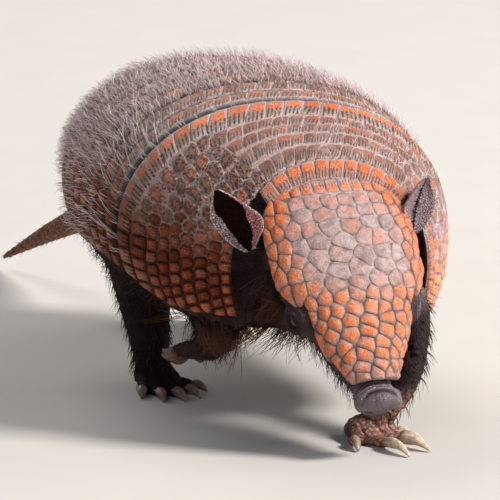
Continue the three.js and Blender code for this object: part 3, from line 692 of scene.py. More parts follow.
NEIGHBOURS = 14
TILE_LEVELS = np.array([0, 0.3, 0.56, 0.76, 0.87, 0.94, 1.0, 1.07])
TILE_EDGE = [1, 1, 1, 1, 0.94, 0.7, 0, -1]  # height of each level above the groove
TILE_FOOT = 0.9  # a scute's wall goes this far under the surface
LEAST_ROOM = 0.4
PLATE_COLUMNS = 120
PLATE_SHARE = 0.968  # the plate under the scutes ends this far out
PLATE_STEP = 2.0
FINE_PLATE_STEP = 1.1
TILES_UV, OUTER_UV, INNER_UV = 0.0, 0.34, 0.68  # where each layer starts on the unwrap
LAYER_UV = 0.31
UV_EDGE = 0.005
UV_HALF_HEIGHT = 0.44
UV_OVERRUN = 4  # tiles may pass the range of s by this


def unwrap(surface, s, q, s_range, layer):
    """Place on the unwrap: run along u in the layer's strip, q along v."""
    length = s_range[1] - s_range[0] + 2 * UV_OVERRUN
    u = layer + UV_EDGE + LAYER_UV * (s - s_range[0] + UV_OVERRUN) / length
    widest = surface.reach(np.linspace(*s_range, 9)).max()
    return joined(2, np.stack([u, 0.5 + UV_HALF_HEIGHT * q / widest], axis=-1))


def seeds(row_bounds, q_range, pitch, scale, wander, stagger=0.0, on_arch=True):
    """Seeds of scutes in rows: s, q, row and half length. A row is a pair of bounds in s, given as
    numbers or as functions of q. On the arch they are spaced by its length."""
    found = []
    low, high = share_of(np.array(q_range)) if on_arch else q_range
    for number, bounds in enumerate(row_bounds):
        count = max(1, round((high - low) * scale / pitch))
        middle = np.arange(count) + 0.5 + stagger * (-1) ** number
        q = low + (middle + rng.uniform(-1, 1, count) * wander) / count * (high - low)
        q = across_of(q) if on_arch else q
        start, end = (bound(q) if callable(bound) else np.full(count, float(bound))
                      for bound in bounds)
        s = (start + end) / 2 + rng.uniform(-1, 1, count) * wander * (end - start)
        found.append([s, q, np.full(count, number), (end - start) / 2])
    return np.concatenate(found, axis=1)


def zoned(zones, step=1):
    """Seeds of several zones as one table, with their rows numbered apart."""
    for number, zone in enumerate(zones):
        zone[2] += step * number
    return np.concatenate(zones, axis=1)


def neighbour_walls(surface, seeded, straight):
    """Half-planes between each seed and its neighbours."""
    s, q, row_of, half = seeded
    lean = lean_of(surface, s, q)
    delta_s = s[None, :] - s[:, None]
    delta_t = (q[None, :] - q[:, None]) * surface.scale(s)[:, None]
    delta_t = delta_t - delta_s * (lean[None, :] + lean[:, None]) / 2
    distance = np.hypot(delta_s, delta_t)
    np.fill_diagonal(distance, 1e6)
    near = np.argsort(distance, axis=1)[:, :min(NEIGHBOURS, len(s) - 1)]
    delta_s, delta_t, distance = (np.take_along_axis(table, near, axis=1)
                                  for table in (delta_s, delta_t, distance))
    reach = half[:, None] + half[near]
    in_other_row = (row_of[near] != row_of[:, None]) & (np.abs(delta_s) > 0.85 * reach)
    square = np.where(in_other_row, straight[:, None], 0)
    n_s = mix(delta_s / distance, np.sign(delta_s), square)
    n_t = mix(delta_t / distance, 0, square)
    size = np.hypot(n_s, n_t)
    away = mix(distance, np.abs(delta_s), square)
    away = (away ** 2 + half[:, None] ** 2 - half[near] ** 2) / (2 * away)
    return np.stack([n_s / size, n_t / size, away], axis=-1)


def rim_walls(surface, seeded, s_range):
    """Half-planes of each seed along the plate's own four edges."""
    s, q = seeded[:2]
    lean = lean_of(surface, s, q)
    one, zero = np.ones_like(s), np.zeros_like(s)
    rims = [(-one, zero, s - s_range[0]), (one, zero, s_range[1] - s)]
    for side in (-1, 1):
        before, room, after = ((surface.reach(place) - side * q) * surface.scale(place)
                               for place in (s - 1, s, s + 1))
        slope = side * lean - (after - before) / 2
        size = np.hypot(slope, 1)
        rims.append((slope / size, side / size, room / size))
    return np.stack([np.stack(rim, axis=-1) for rim in rims], axis=1)


def scute_walls(surface, seeded, s_range, straight):
    """Half-planes round each seed: unit normal (along, across) and distance. Straight turns the
    walls between rows square to the run."""
    return np.concatenate([neighbour_walls(surface, seeded, straight),
                           rim_walls(surface, seeded, s_range)], axis=1)


def tile_grid():
    """Square grid of a tile as rings round its middle: the level of each point and its angle, the
    quads, and the outermost ring."""
    half = len(TILE_LEVELS) - 1
    i, j = np.meshgrid(np.arange(-half, half + 1), np.arange(-half, half + 1), indexing="ij")
    i, j = i.ravel(), j.ravel()
    side = 2 * half + 1
    order = np.arange(side * side).reshape(side, side)
    loop = np.concatenate([order[0, :-1], order[:-1, -1], order[-1, :0:-1], order[:0:-1, 0]])
    return np.maximum(abs(i), abs(j)), np.arctan2(j, i), grid_faces(side, side), loop


def tile_faces(count, size, quads, loop, outward):
    """Faces of count tiles of size points each; the middles of their undersides follow them all."""
    starts = (np.arange(count) * size)[:, None, None]
    fans = np.stack([np.full_like(loop, 0), loop, np.roll(loop, -1)], axis=1)[None] + starts
    fans[:, :, 0] = (np.arange(count) + count * size)[:, None]
    quads, fans = joined(4, quads[None] + starts), joined(3, fans)
    return [quads[:, ::-1], fans[:, ::-1]] if outward > 0 else [quads, fans]


def tile_extent(walls, style, direction):
    """How far each tile reaches in a direction from its seed, with rounded corners."""
    facing = walls[:, :, 0, None] * np.cos(direction) + walls[:, :, 1, None] * np.sin(direction)
    room = np.maximum(walls[:, :, 2, None] - style.gap, LEAST_ROOM)
    return (np.maximum(facing / room, 0) ** style.corner).sum(axis=1) ** (-1 / style.corner)


def each(values, shape):
    """A value for all rows of a table, or one for each of them, spread over the table's shape."""
    return np.broadcast_to(np.reshape(np.asarray(values, float), (-1, 1)), shape)


def tile_looks(style, orange, tone, rho, shape):
    """Looks of the points of each tile: orange, furrows, rim, tone."""
    rim = ease(rho, each(style.rim, shape), 0.94) * each(style.pale_rim, shape)
    # Darker towards the edges by dark_rim, which low on the right flank is painted shade.
    shaded = each(tone, shape) * (1 - each(style.dark_rim, shape) * ease(rho, 0.58, 0.96))
    # Pale rims lift a dark tone back up: a painted highlight along the scutes' rims.
    shaded = mix(shaded, np.maximum(shaded, 1), 0.6 * rim)
    clean = 1 - np.maximum(0.7 * rim, each(style.fade, shape) * ease(rho, 0.5, 0.92))
    return np.stack([each(orange, shape) * clean, each(style.furrow, shape), rim, shaded], axis=-1)


def scutes(surface, seeded, walls, s_range, style, orange, tone):
    """Closed raised tiles, one for each seed."""
    level, angle, quads, loop = tile_grid()
    rho = TILE_LEVELS[level]
    s, q = seeded[:2]
    count, size = shape = (len(s), len(rho))
    wobble = 1 + 0.02 * np.sin(3 * angle + rng.uniform(0, 6.3, (count, 1)))
    radius = tile_extent(walls, style, angle) * wobble * rho
    ds, dt = radius * np.cos(angle), radius * np.sin(angle)
    half_length = tile_extent(walls, style, np.array([0.0, np.pi])).mean(axis=1)
    half_breadth = tile_extent(walls, style, np.array([np.pi / 2, -np.pi / 2])).mean(axis=1)
    a, b = ds / half_length[:, None], dt / half_breadth[:, None]

    edge = np.array(TILE_EDGE, float)[level]
    height = style.groove + edge * np.where(edge > 0, style.height - style.groove, TILE_FOOT)
    swelling = each(style.bulge, shape) * (1 - np.minimum(rho, 1) ** 2) + each(style.tilt, shape) * a
    place_s = s[:, None] + ds
    place_q = q[:, None] + (dt + lean_of(surface, s, q)[:, None] * ds) / surface.scale(place_s)
    plain = lifted(surface, place_s, place_q, height + swelling * (edge > 0))
    roughness = ripple(plain, 4.5, 3) * style.rough * (edge > 0.5)
    points = moved(plain, (normals_of(surface, place_s, place_q), roughness))
    base = lifted(surface, s, q, np.full(count, style.groove - TILE_FOOT))

    looks = tile_looks(style, orange, tone, rho, shape)
    chance = each(rng.uniform(0, 1, count), shape)
    place = np.stack([a, b, each(style.grain, shape), chance], axis=-1)
    below = np.zeros((count, 4))
    uv = joined(2, unwrap(surface, place_s, place_q, s_range, TILES_UV),
                unwrap(surface, s, q, s_range, TILES_UV))
    return patch(joined(3, points, base), tile_faces(count, size, quads, loop, surface.outward),
                 joined(4, looks, below), joined(4, place, below), uv)


def base_plate(surface, s_range, thickness, top, looks, step):
    """Closed plate under the scutes; top is a function of s, and looks is one of s and q."""
    last = max(4, round((s_range[1] - s_range[0]) / step))
    width = PLATE_COLUMNS + 1
    s, share = np.meshgrid(np.linspace(*s_range, last + 1), np.linspace(-1, 1, width), indexing="ij")
    q = share * surface.reach(s) * PLATE_SHARE
    layers = [lifted(surface, s, q, top(s)), lifted(surface, s, q, np.full_like(s, -thickness))]
    faces = grid_faces(last + 1, width)
    ring = np.concatenate([np.arange(width), np.arange(1, last + 1) * width + PLATE_COLUMNS,
                           last * width + np.arange(PLATE_COLUMNS - 1, -1, -1),
                           np.arange(last - 1, 0, -1) * width])
    following = np.roll(ring, -1)
    walls = np.stack([ring, following, following + s.size, ring + s.size], axis=1)
    quads = np.concatenate([faces[:, ::-1], faces + s.size, walls])
    if surface.outward < 0:
        quads = quads[:, ::-1]
    uv = joined(2, *[unwrap(surface, s, q, s_range, layer) for layer in (OUTER_UV, INNER_UV)])
    inner_looks = np.tile([0, 0, 0, 0.5], (s.size, 1))
    return patch(joined(3, *layers), [quads], joined(4, looks(s, q), inner_looks), uv=uv)


def tile_style(**changes):
    """The make of a shell piece's scutes, in mm, and how strong each of its looks is."""
    style = dict(gap=0.16, corner=12, groove=-0.12, height=0.3, bulge=0.3, tilt=0.0, rough=0.05,
                 grain=0.0, furrow=0.0, rim=0.8, pale_rim=0.9, dark_rim=0.0, fade=0.0,
                 thickness=3.4, mortar=mortar_looks)
    style.update(changes)
    return SimpleNamespace(**style)


def low_down(q):
    """Nearness to the lower edge of the shell."""
    return ease(np.abs(q), 0.45, 0.8)


def lowest(q):
    """The same, for the edge's own stretch only."""
    return ease(np.abs(q), 0.58, 0.85)


def flank_tone(q):
    """Tone of scutes, a little different for each: even on the back; dark low on the right flank,
    which is painted shade, and pale low on the left flank, which is painted light."""
    spread = rng.uniform(0, 1, len(q))
    dark, pale = mix(0.42, 0.78, spread), mix(1.25, 1.55, spread)
    return mix(mix(0.82, 1.1, spread), np.where(q < 0, dark, pale), low_down(q))


def dark_edges(q):
    """How dark the edges of a scute are, low on the flanks: strongly on the right, as painted shade."""
    return lowest(q) * np.where(q < 0, 0.75, 0.15)


def mortar_looks(s, q):
    """Looks of the groove between scutes: pale on the back, less pale low on the flanks, and dark low
    on the right flank, which is painted shade.
    """
    rim = mix(1.0, np.where(q < 0, 0.2, 0.8), lowest(q))
    tone = mix(1.0, np.where(q < 0, 0.34, 1.0), lowest(q))
    return np.stack([0 * s, 0 * s, rim, tone], axis=-1)


def scapular_mortar(s, q):
    """The same, with the shield's front edge orange like its scutes."""
    looks = mortar_looks(s, q)
    looks[..., 0] = ease(s, 4.5, 3.0)
    looks[..., 2] *= 1 - looks[..., 0]
    return looks


def head_mortar(s, q):
    """Looks of the groove on the head: darker at its sides and on the snout."""
    side = ease(np.abs(q) / CROWN.reach(s), 0.35, 0.7)
    return np.stack([0 * s, 0 * s, 0 * s, mix(1.1, 0.5, np.maximum(side, on_snout(s)))], axis=-1)


def shell_piece(name, surface, seeded, s_range, plate_range, straight, orange, tone, style,
                top=None, front=None):
    """Scutes on their plate. Front is where the scutes start; skin shows ahead of it."""
    walls = scute_walls(surface, seeded, s_range, straight)
    tiles = scutes(surface, seeded, walls, s_range, style, orange, tone)
    groove = lambda s: np.full_like(s, style.groove)
    plate = base_plate(surface, plate_range, style.thickness, top or groove, style.mortar,
                       FINE_PLATE_STEP if front else PLATE_STEP)
    piece = mesh_object(name, [tiles, plate])
    bare = np.zeros((len(tiles.points) + len(plate.points), 4))
    if front:
        half = len(plate.points) // 2
        width = PLATE_COLUMNS + 1
        s = np.repeat(np.linspace(*plate_range, half // width), width)
        outer = slice(len(tiles.points), len(tiles.points) + half)
        bare[outer, 0] = ease(s, front + 0.5, front - 0.3)
    point_numbers(piece.data, "seam", bare)
    return piece


def nuchal_band():
    bounds = (NUCHAL[0] - 1.0, NUCHAL[1])
    seeded = seeds([bounds], (-NUCHAL_SPREAD, NUCHAL_SPREAD), 9.0, NAPE.scale(-4.0), 0.02)
    q = seeded[1]
    style = tile_style(furrow=0.72, height=0.45, tilt=0.3, bulge=0.45, thickness=2.4)
    orange = mix(0.85, 0.5, ease(np.abs(q), 0.26, 0.33))
    return shell_piece("nuchal_scutes", NAPE, seeded, bounds, bounds, np.ones_like(q), orange,
                       rng.uniform(0.95, 1.1, len(q)), style)


# The scapular shield has four long rows across the nape, smaller plates at their sides, the
# smallest ones low on the flanks, and one row along its hind edge.
NAPE_SPAN = (-0.31, 0.33)
NAPE_BOUNDS = (SCAPULAR[0], 12.5, 23, 32.5)
LOW_FLANK = 0.62
UPPER_BOUNDS = (SCAPULAR[0], 9.6, 19, 28.4, 37.6)
LOWER_BOUNDS = np.linspace(SCAPULAR[0], 43, 8)


def last_row_start(q):
    """The shield's last row is longest on the nape."""
    away = np.abs(q)
    return 52.2 - 4.5 * ease(away, 0.85, 0.5) - 6 * ease(away, 0.42, 0.12)


def scapular_seeds():
    """Seeds of the shield, zone by zone."""
    scale = BACK.scale(TYPICAL_ARCH)
    up_to_last = lambda bounds: [*zip(bounds, [*bounds[1:], last_row_start])]
    zones = [seeds([(last_row_start, SCAPULAR[1])], (-1, 1), 9.4, scale, 0.05),
             seeds(up_to_last(NAPE_BOUNDS), NAPE_SPAN, 8.2, scale, 0.08, 0.2)]
    for side, inner, stagger in ((-1, NAPE_SPAN[0], 0.0), (1, NAPE_SPAN[1], 0.25)):
        upper, lower = sorted((inner, side * LOW_FLANK)), sorted((side * LOW_FLANK, side * 1.0))
        zones.append(seeds(up_to_last(UPPER_BOUNDS), upper, 9.4, scale, 0.13, stagger))
        zones.append(seeds(up_to_last(LOWER_BOUNDS), lower, 7.0, scale, 0.12, 0.2))
    return zoned(zones, 20)


def scapular_shield():
    seeded = scapular_seeds()
    s, q = seeded[:2]
    is_last = s > (last_row_start(q) + SCAPULAR[1]) / 2 - 2.5
    nape = (q > NAPE_SPAN[0]) & (q < NAPE_SPAN[1])
    low = low_down(q)
    margin = (np.abs(q) > 0.94) | ((np.abs(q) > 0.6) & (s < 5))
    straight = np.where(is_last | nape, 1.0, 0.35 * low)
    side_furrow = np.where(q < 0, 0.55, 0.1) * low
    side_grain = np.where(q < 0, 0.85, 0.5) - 0.3 * low
    style = tile_style(furrow=np.where(is_last, 1.0, np.where(nape, 0.75, side_furrow)),
                       grain=np.where(is_last | nape, 0, side_grain), height=0.4, groove=-0.2,
                       tilt=0.2, bulge=mix(0.5, 0.8, low), mortar=scapular_mortar,
                       pale_rim=mix(0.95, 0.1, ease(np.abs(q), 0.58, 0.82)),
                       dark_rim=dark_edges(q), rim=np.where(is_last, 0.66, 0.8),
                       fade=np.where(is_last, 0.45, mix(0.15, 0.55, low)))
    chance = rng.uniform(0, 1, len(s))
    side_orange = mix(np.where(chance > 0.72, 0.5, 0.1), np.where(q < 0, 0.4, 0.5) + 0.7 * chance,
                      ease(np.abs(q), 0.52, 0.88))
    last_orange = mix(1.0, 0.3 + 0.4 * chance, ease(q, -0.36, -0.52) + ease(q, 0.3, 0.48))
    orange = np.where(nape, 0.1 + 0.45 * chance ** 2, side_orange)
    orange = np.where(is_last, last_orange, np.where(margin, 1.0, orange))
    # Side scutes a little darker on the right and lighter on the left: painted shade and light.
    tone = flank_tone(q) * np.where(is_last | nape, 1, np.where(q < 0, 0.92, 1.1))
    tone = np.where(margin, mix(tone, 0.9, 0.5), tone)
    return shell_piece("scapular_scutes", BACK, seeded, SCAPULAR, (1.8, 62.6), straight, orange,
                       tone, style)


BAND_SEAMS = (5.6, 3.4, 2.2, 1.8, 1.6, 1.6, 1.6)  # bare skin in front of each band's scutes
BAND_GAP = 0.9
TONGUE = 3.0  # how far a band runs forward under the one before it
TONGUE_SINK = -2.0
PELVIC = (PELVIC_START + 1.0, CARAPACE_END)
PELVIC_ROWS = 10


def sunk_front(front):
    """Height of a plate whose front part dives under the plate before it."""
    return lambda run: mix(TONGUE_SINK, -0.12, ease(run, front - 1.4, front + 0.4))


def banded_style(low, q, **changes):
    """Scutes of the movable bands and the pelvic shield."""
    return tile_style(pale_rim=mix(0.9, 0.2, low), dark_rim=dark_edges(q), fade=0.6 * low, **changes)


def movable_band(band):
    start = BANDS_START + band * BAND_LENGTH
    end = start + BAND_LENGTH - BAND_GAP
    front = start + BAND_SEAMS[band] - BAND_GAP
    seeded = seeds([(front, end)], (-1, 1), 8.8, BACK.scale(start), 0.05)
    q = seeded[1]
    low = low_down(q)
    chance = rng.uniform(0, 1, len(q))
    orange = mix(0.75 * chance if band == 0 else 0.55 * chance ** 2, 0.55 + 0.45 * chance, low)
    style = banded_style(low, q, furrow=0.8, height=0.42, tilt=0.3, corner=14)
    return shell_piece(f"band_{band + 1}_scutes", BACK, seeded, (front, end),
                       (start - TONGUE, end + 0.3), np.ones_like(q), orange, flank_tone(q), style,
                       sunk_front(front), front)


def pelvic_shield():
    bounds = np.linspace(*PELVIC, PELVIC_ROWS + 1)
    seeded = zoned([seeds([row], (-1, 1), 9.4, BACK.scale(sum(row) / 2), 0.08)
                    for row in zip(bounds[:-1], bounds[1:])])
    q, row_of = seeded[1:3]
    low = low_down(q)
    margin = (np.abs(q) > 0.92) | (row_of == PELVIC_ROWS - 1)
    chance = rng.uniform(0, 1, len(q))
    orange = np.where(margin, 0.7, mix(0.5 * chance ** 2, 0.5 + 0.5 * chance, low))
    style = banded_style(low, q, furrow=0.6, grain=0.4, height=0.4, tilt=0.25)
    return shell_piece("pelvic_scutes", BACK, seeded, PELVIC, (PELVIC_START - TONGUE, CARAPACE_END),
                       np.full_like(q, 0.8), orange, flank_tone(q), style, sunk_front(PELVIC[0]),
                       PELVIC[0])


# Bounds of the head shield's rows from back to front, and the number of plates in each.
HEAD_ROWS = (-2.8, 6.8, 13.6, 21.2, 29.6, 38, 46.6, 54.8, 62.4, 69.6, 76.6, 83.4, 89.8, 95.8, 101.4,
             106.8, HEAD_SHIELD_LENGTH)
HEAD_PLATES = (9, 10, 9, 10, 10, 10, 9, 9, 8, 8, 7, 7, 6, 6, 5, 5)
HEAD_WANDER = (0.03, 0.08, 0.22)  # of the first row, the second and the others
HEAD_HALF_LENGTH = 3.6


def on_snout(s):
    return ease(s, 50, 78)


def head_seeds():
    """Seeds of the head shield, row by row."""
    found = []
    for number, (start, end, count) in enumerate(zip(HEAD_ROWS[:-1], HEAD_ROWS[1:], HEAD_PLATES)):
        middle = (start + end) / 2
        reach, scale = CROWN.reach(middle), CROWN.scale(middle)
        stagger = 0.0 if number < 2 else 0.13 * (-1) ** number
        found.append(seeds([(start, end)], (-reach, reach), 2 * reach * scale / count, scale,
                           HEAD_WANDER[min(number, 2)], stagger, on_arch=False))
    seeded = zoned(found)
    seeded[3] = HEAD_HALF_LENGTH
    return seeded


def head_shield():
    seeded = head_seeds()
    s, q, row_of, _ = seeded
    back = row_of < 1
    rim = ease(np.abs(q) / CROWN.reach(s), 0.45, 0.8)
    snout = on_snout(s)
    bold = np.clip(rim + snout, 0, 1)
    chance = rng.uniform(0, 1, len(s))
    orange = np.clip(0.6 * chance ** 4 + (0.9 + 0.3 * chance) * rim + 0.95 * snout + 0.9 * back
                     + 0.3 * (row_of == 1), 0, 1)
    orange = orange * (1 - 0.55 * ease(s, 101, 108))
    style = tile_style(height=0.2, bulge=mix(0.4, 1.1, bold), corner=9, gap=0.0, rough=0.25,
                       pale_rim=0.0, dark_rim=mix(0.06, 0.2, bold),
                       fade=mix(0.9, mix(0.55, 0.85, snout), bold), furrow=np.where(back, 0.4, 0),
                       thickness=2.8, mortar=head_mortar)
    # The rim scutes on the head's right side are a little darker: painted shade.
    tone = rng.uniform(0.9, 1.08, len(s)) * mix(1, np.where(q < 0, 0.9, 1.0), rim)
    return shell_piece("head_scutes", CROWN, seeded, (HEAD_ROWS[0], HEAD_ROWS[-1]),
                       (HEAD_ROWS[0] + 0.1, HEAD_SHIELD_LENGTH - 0.2), np.where(back, 0.9, 0.0),
                       orange, tone, style)


# ------------ flesh

VOXEL = 1.8
TRUNK_ROWS = 50
BACK_COLUMNS = 64
BELLY_COLUMNS = 28
HEAD_SIDES = 64
LIMB_ROWS, LIMB_SIDES, LIMB_INSET = 30, 28, 0.8
TAIL_ROWS, TAIL_SIDES, TAIL_INSET = 60, 28, 0.4
UP = np.array([0, 0, 1])


def path_through(points, count):
    """Centripetal spline through points: places and directions at even steps of its knots."""
    points = np.asarray(points, float)
    extended = np.concatenate([[2 * points[0] - points[1]], points, [2 * points[-1] - points[-2]]])
    steps = np.linspace(0, len(points) - 1, count + 1)
    index = np.minimum(steps.astype(int), len(points) - 2)
    t = (steps - index)[:, None]
    p = [extended[index + k] for k in range(4)]
    knots = [np.linalg.norm(p[k + 1] - p[k], axis=1)[:, None] ** 0.5 for k in range(3)]
    m1 = ((p[1] - p[0]) / knots[0] - (p[2] - p[0]) / (knots[0] + knots[1])
          + (p[2] - p[1]) / knots[1]) * knots[1]
    m2 = ((p[2] - p[1]) / knots[1] - (p[3] - p[1]) / (knots[1] + knots[2])
          + (p[3] - p[2]) / knots[2]) * knots[1]
    c2, c3 = -3 * p[1] + 3 * p[2] - 2 * m1 - m2, 2 * p[1] - 2 * p[2] + m1 + m2
    return p[1] + m1 * t + c2 * t ** 2 + c3 * t ** 3, unit(m1 + 2 * c2 * t + 3 * c3 * t ** 2)


def limb_rings(stations, count, sides, inset):
    """Rings round the middle line of a limb."""
    stations = np.asarray(stations, float)
    centre, along = path_through(stations[:, :3], count)
    place = np.linspace(0, 1, len(stations))
    t = np.linspace(0, 1, count + 1)
    width = profile(list(zip(place, stations[:, 3])))(t) - inset
    depth = profile(list(zip(place, stations[:, 4])))(t) - inset
    across = unit(SIDEWAYS - along * along[:, :1])
    fore = np.cross(along, across)
    turn = turns(sides)
    return moved(centre[:, None], (across[:, None], np.cos(turn) * width[:, None]),
                 (fore[:, None], np.sin(turn) * depth[:, None]))


def leg_rings(leg):
    return limb_rings(leg.limb, LIMB_ROWS, LIMB_SIDES, LIMB_INSET)


def tail_rings():
    return limb_rings(TAIL, TAIL_ROWS, TAIL_SIDES, TAIL_INSET)


def trunk_rings():
    """Rings of the trunk: under the carapace from left to right, and back round the belly."""
    belly_depth = profile([(TRUNK[0], 10), (64, 25), (140, 28), (220, 22), (TRUNK[1], 8)])
    run = np.linspace(*TRUNK, TRUNK_ROWS)[:, None]
    across = np.linspace(1, -1, BACK_COLUMNS)[None]
    back = lifted(BACK, run + 0 * across, across + 0 * run, 0 * run * across - SKIN_INSET)
    turn = np.linspace(0, 1, BELLY_COLUMNS + 2)[1:-1]
    sag = np.sin(np.pi * turn)
    share = ((1 - np.cos(np.pi * turn)) / 2)[None, :, None]
    belly = mix(back[:, -1:], back[:, :1], share)
    belly[..., 2] -= (belly_depth(run) - 1) * sag ** 0.7
    near_breast = np.maximum(0, 1 - (run - TRUNK[0]) / BREAST_LENGTH)
    belly[..., 1] += sag * BREAST_BACKSET * near_breast
    return np.concatenate([back, belly], axis=1)


def head_rings(places):
    """Rings of the head that start further forward at the throat than at the crown."""
    turn = turns(HEAD_SIDES)
    share = (1 - np.cos(turn)) / 2
    along = mix(mix(NAPE_START, HEAD_LENGTH, places)[:, None],
                mix(THROAT_START, HEAD_LENGTH, places)[:, None], share)
    from_crown = np.minimum(turn, 2 * np.pi - turn)
    return head_point(along, turn + 0 * along, flesh_inset(along) * shield_cover(from_crown) + 0.3)


def neck_rings():
    turn = turns(HEAD_SIDES)
    start = NECK_START + np.stack([NECK_HALF_WIDTH * np.sin(turn), 0 * turn,
                                   NECK_HALF_HEIGHT * np.cos(turn)], axis=-1)
    end = head_rings(np.array([0.12]))[0]
    return mix(start, end, np.linspace(0, 1, 12)[:, None, None])


def foot_matrix(leg):
    """Turns a palm's frame into the body's."""
    turn, fold = math.radians(leg.turn) * leg.outward, math.radians(leg.fold)
    c, s = math.cos(turn), math.sin(turn)
    about_z = np.array([[c, -s, 0], [s, c, 0], [0, 0, 1]])
    c, s = math.cos(fold), math.sin(fold)
    about_x = np.array([[1, 0, 0], [0, c, -s], [0, s, c]])
    return about_z @ about_x


def placed(leg, points):
    """Points of a palm's frame in the body's."""
    return points @ foot_matrix(leg).T + np.array(leg.sole)


def palm_rings(leg):
    palm = leg.palm
    t = np.linspace(0, 1, 16)
    width = profile([(0, 0.5), (0.25, 0.78), (0.7, 1), (1, 0.8)])(t)[:, None]
    top = profile([(0, 0.7), (0.3, 1), (0.7, 0.85), (1, 0.5)])(t)[:, None]
    turn = turns(24)
    z = np.maximum(0, palm.height * top * (0.4 + 0.6 * np.sin(turn)))
    x = palm.half_width * width * np.cos(turn)
    return placed(leg, np.stack([x, palm.length * (0.5 - t[:, None]) + 0 * x, z], axis=-1))


def digit_frame(leg, digit):
    """Knuckle, toe end, direction ahead and sideways of a digit, in the palm's frame."""
    place, turn, toe, _, reach = digit
    turn = math.radians(turn) * leg.outward
    ahead = np.array([math.sin(turn), -math.cos(turn), 0])
    sideways = np.array([ahead[1], -ahead[0], 0])
    knuckle = np.array([place * leg.outward, TOE_OVERLAP - leg.palm.length / 2 - reach, TOE_AXIS])
    return knuckle, knuckle + ahead * (toe + TOE_OVERLAP), ahead, sideways


def toe_rings(leg, digit):
    knuckle, end, _, sideways = digit_frame(leg, digit)
    t = np.linspace(0, 1, 10)[:, None, None]
    size = TOE_RADIUS * profile([(0, 0.95), (0.35, 1.06), (0.55, 0.92), (0.8, 1.12), (1, 0.82)])(t)
    turn = turns(16)[None, :, None]
    rings = mix(knuckle, end, t) + sideways * (size * np.cos(turn))
    rings[..., 2] = np.maximum(0, rings[..., 2] + (size * np.sin(turn))[..., 0])
    return placed(leg, rings)


# Half widths of an ear's two lobes and half the turn of its scoop, from its base at 0 to its tip
# at 1; its root is below 0.
EAR_ROOT = -0.3
ear_front = profile([(EAR_ROOT, 0.28), (-0.02, 0.16), (0.1, 0.55), (0.24, 1.02), (0.38, 1.15),
                     (0.6, 0.85), (0.85, 0.4), (1, 0.08)])
ear_back = profile([(EAR_ROOT, 0.24), (-0.02, 0.12), (0.15, 0.36), (0.38, 0.62), (0.62, 0.72),
                    (0.85, 0.42), (1, 0.08)])
ear_curl = profile([(0, 1.3), (0.5, 1.1), (1, 0.5)])


def ear_rings(ear, t, loop, share):
    """Rings of an ear: each goes up one face of the scoop and down the other."""
    base, tip, root = np.array(ear.base), np.array(ear.tip), np.array(ear.root)
    facing = unit(np.array(ear.facing))
    widthwise = unit(np.cross(tip - base, facing))
    curl, front, back = ear_curl(t), ear_front(t), ear_back(t)
    bend = curl * share
    lobe = np.where(share * ear.front > 0, front, back)
    lobe = mix((front + back) / 2, lobe, ease(np.abs(share), 0.0, 0.35))
    rim = ease(np.abs(share), 0.66, 0.95)
    sink = EAR_THICKNESS / 2 * (1 + np.sin(loop)) + 0.5 * np.sin(loop) * rim
    side = EAR_HALF_WIDTH * lobe / np.sin(curl)
    depth = EAR_HALF_WIDTH * (front + back) / 2 / np.sin(curl)
    centre = np.where(t < 0, mix(base, root, t / EAR_ROOT), mix(base, tip, t))[:, None]
    return moved(centre, (widthwise, (side + sink) * np.sin(bend)),
                 (facing, depth * EAR_DEPTH - (depth + sink) * np.cos(bend)),
                 (facing * ear.forward, ease(t, -0.1, 0.15)),
                 (facing, 0.7 * rim * np.sin(7 * t + 2) * ease(t, 0, 0.2)))


def ear_patch(ear):
    """Scoop of an ear with a broad lobe in front and a narrow one behind; its root runs on into
    the head. Looks: ear. Place: redness, painted shade in the hollow, grey, painted shade at the root."""
    t = np.linspace(EAR_ROOT, 1, 56)[:, None]
    loop = turns(84)
    share = np.sign(np.cos(loop)) * np.abs(np.cos(loop)) ** 0.8
    lit = share * ear.front  # the broad lobe's inner face turns to the light
    left = mix(-0.5, -0.86, ease(t, 0.5, 0.85))
    right = mix(0.4, 0.9, ease(t, 0.42, 0.72))
    # Hollow marks painted shade: the scoop's inside between the outer rim strip and the lit face is
    # coloured very dark.
    hollow = ease(lit - left, -0.06, 0.06) * ease(lit - right, 0.1, -0.12)
    fold = ease(np.abs(lit + 0.12), 0.22, 0.05)
    inside = 0 * t + (np.sin(loop) < -0.1)
    red = ease(lit, 0.2, 0.45) * ease(lit, 0.97, 0.8)
    zero = 0 * inside
    looks = np.stack([zero, zero, zero + 1, zero], axis=-1)
    # The hollow of the red ear and a fold of the grey ear carry painted shade inside the scoop, and the
    # root under the base gets painted shade too.
    place = np.stack([inside * red * (1 - 0.7 * ear.grey), inside * mix(hollow, 0.8 * fold, ear.grey),
                      zero + ear.grey, zero + ease(t, 0.0, -0.06)], axis=-1)
    return outwards(ring_patch(ear_rings(ear, t, loop, share), looks, place))


def outwards(solid):
    """The same solid with its faces turned outwards."""
    p = solid.points[solid.faces[0]]
    volume = (np.cross(p[:, 0], p[:, 1]) * p[:, 2]).sum() + (np.cross(p[:, 0], p[:, 2]) * p[:, 3]).sum()
    if volume < 0:
        solid.faces = [face[:, ::-1] for face in solid.faces]
    return solid


def remesh(piece):
    """Turns the piece's mesh into one closed skin."""
    modifier = piece.modifiers.new("one_skin", "REMESH")
    modifier.mode = "VOXEL"
    modifier.voxel_size = VOXEL * MM
    depsgraph = bpy.context.evaluated_depsgraph_get()
    mesh = bpy.data.meshes.new_from_object(piece.evaluated_get(depsgraph))
    old = piece.data
    piece.modifiers.clear()
    piece.data = mesh
    bpy.data.meshes.remove(old)


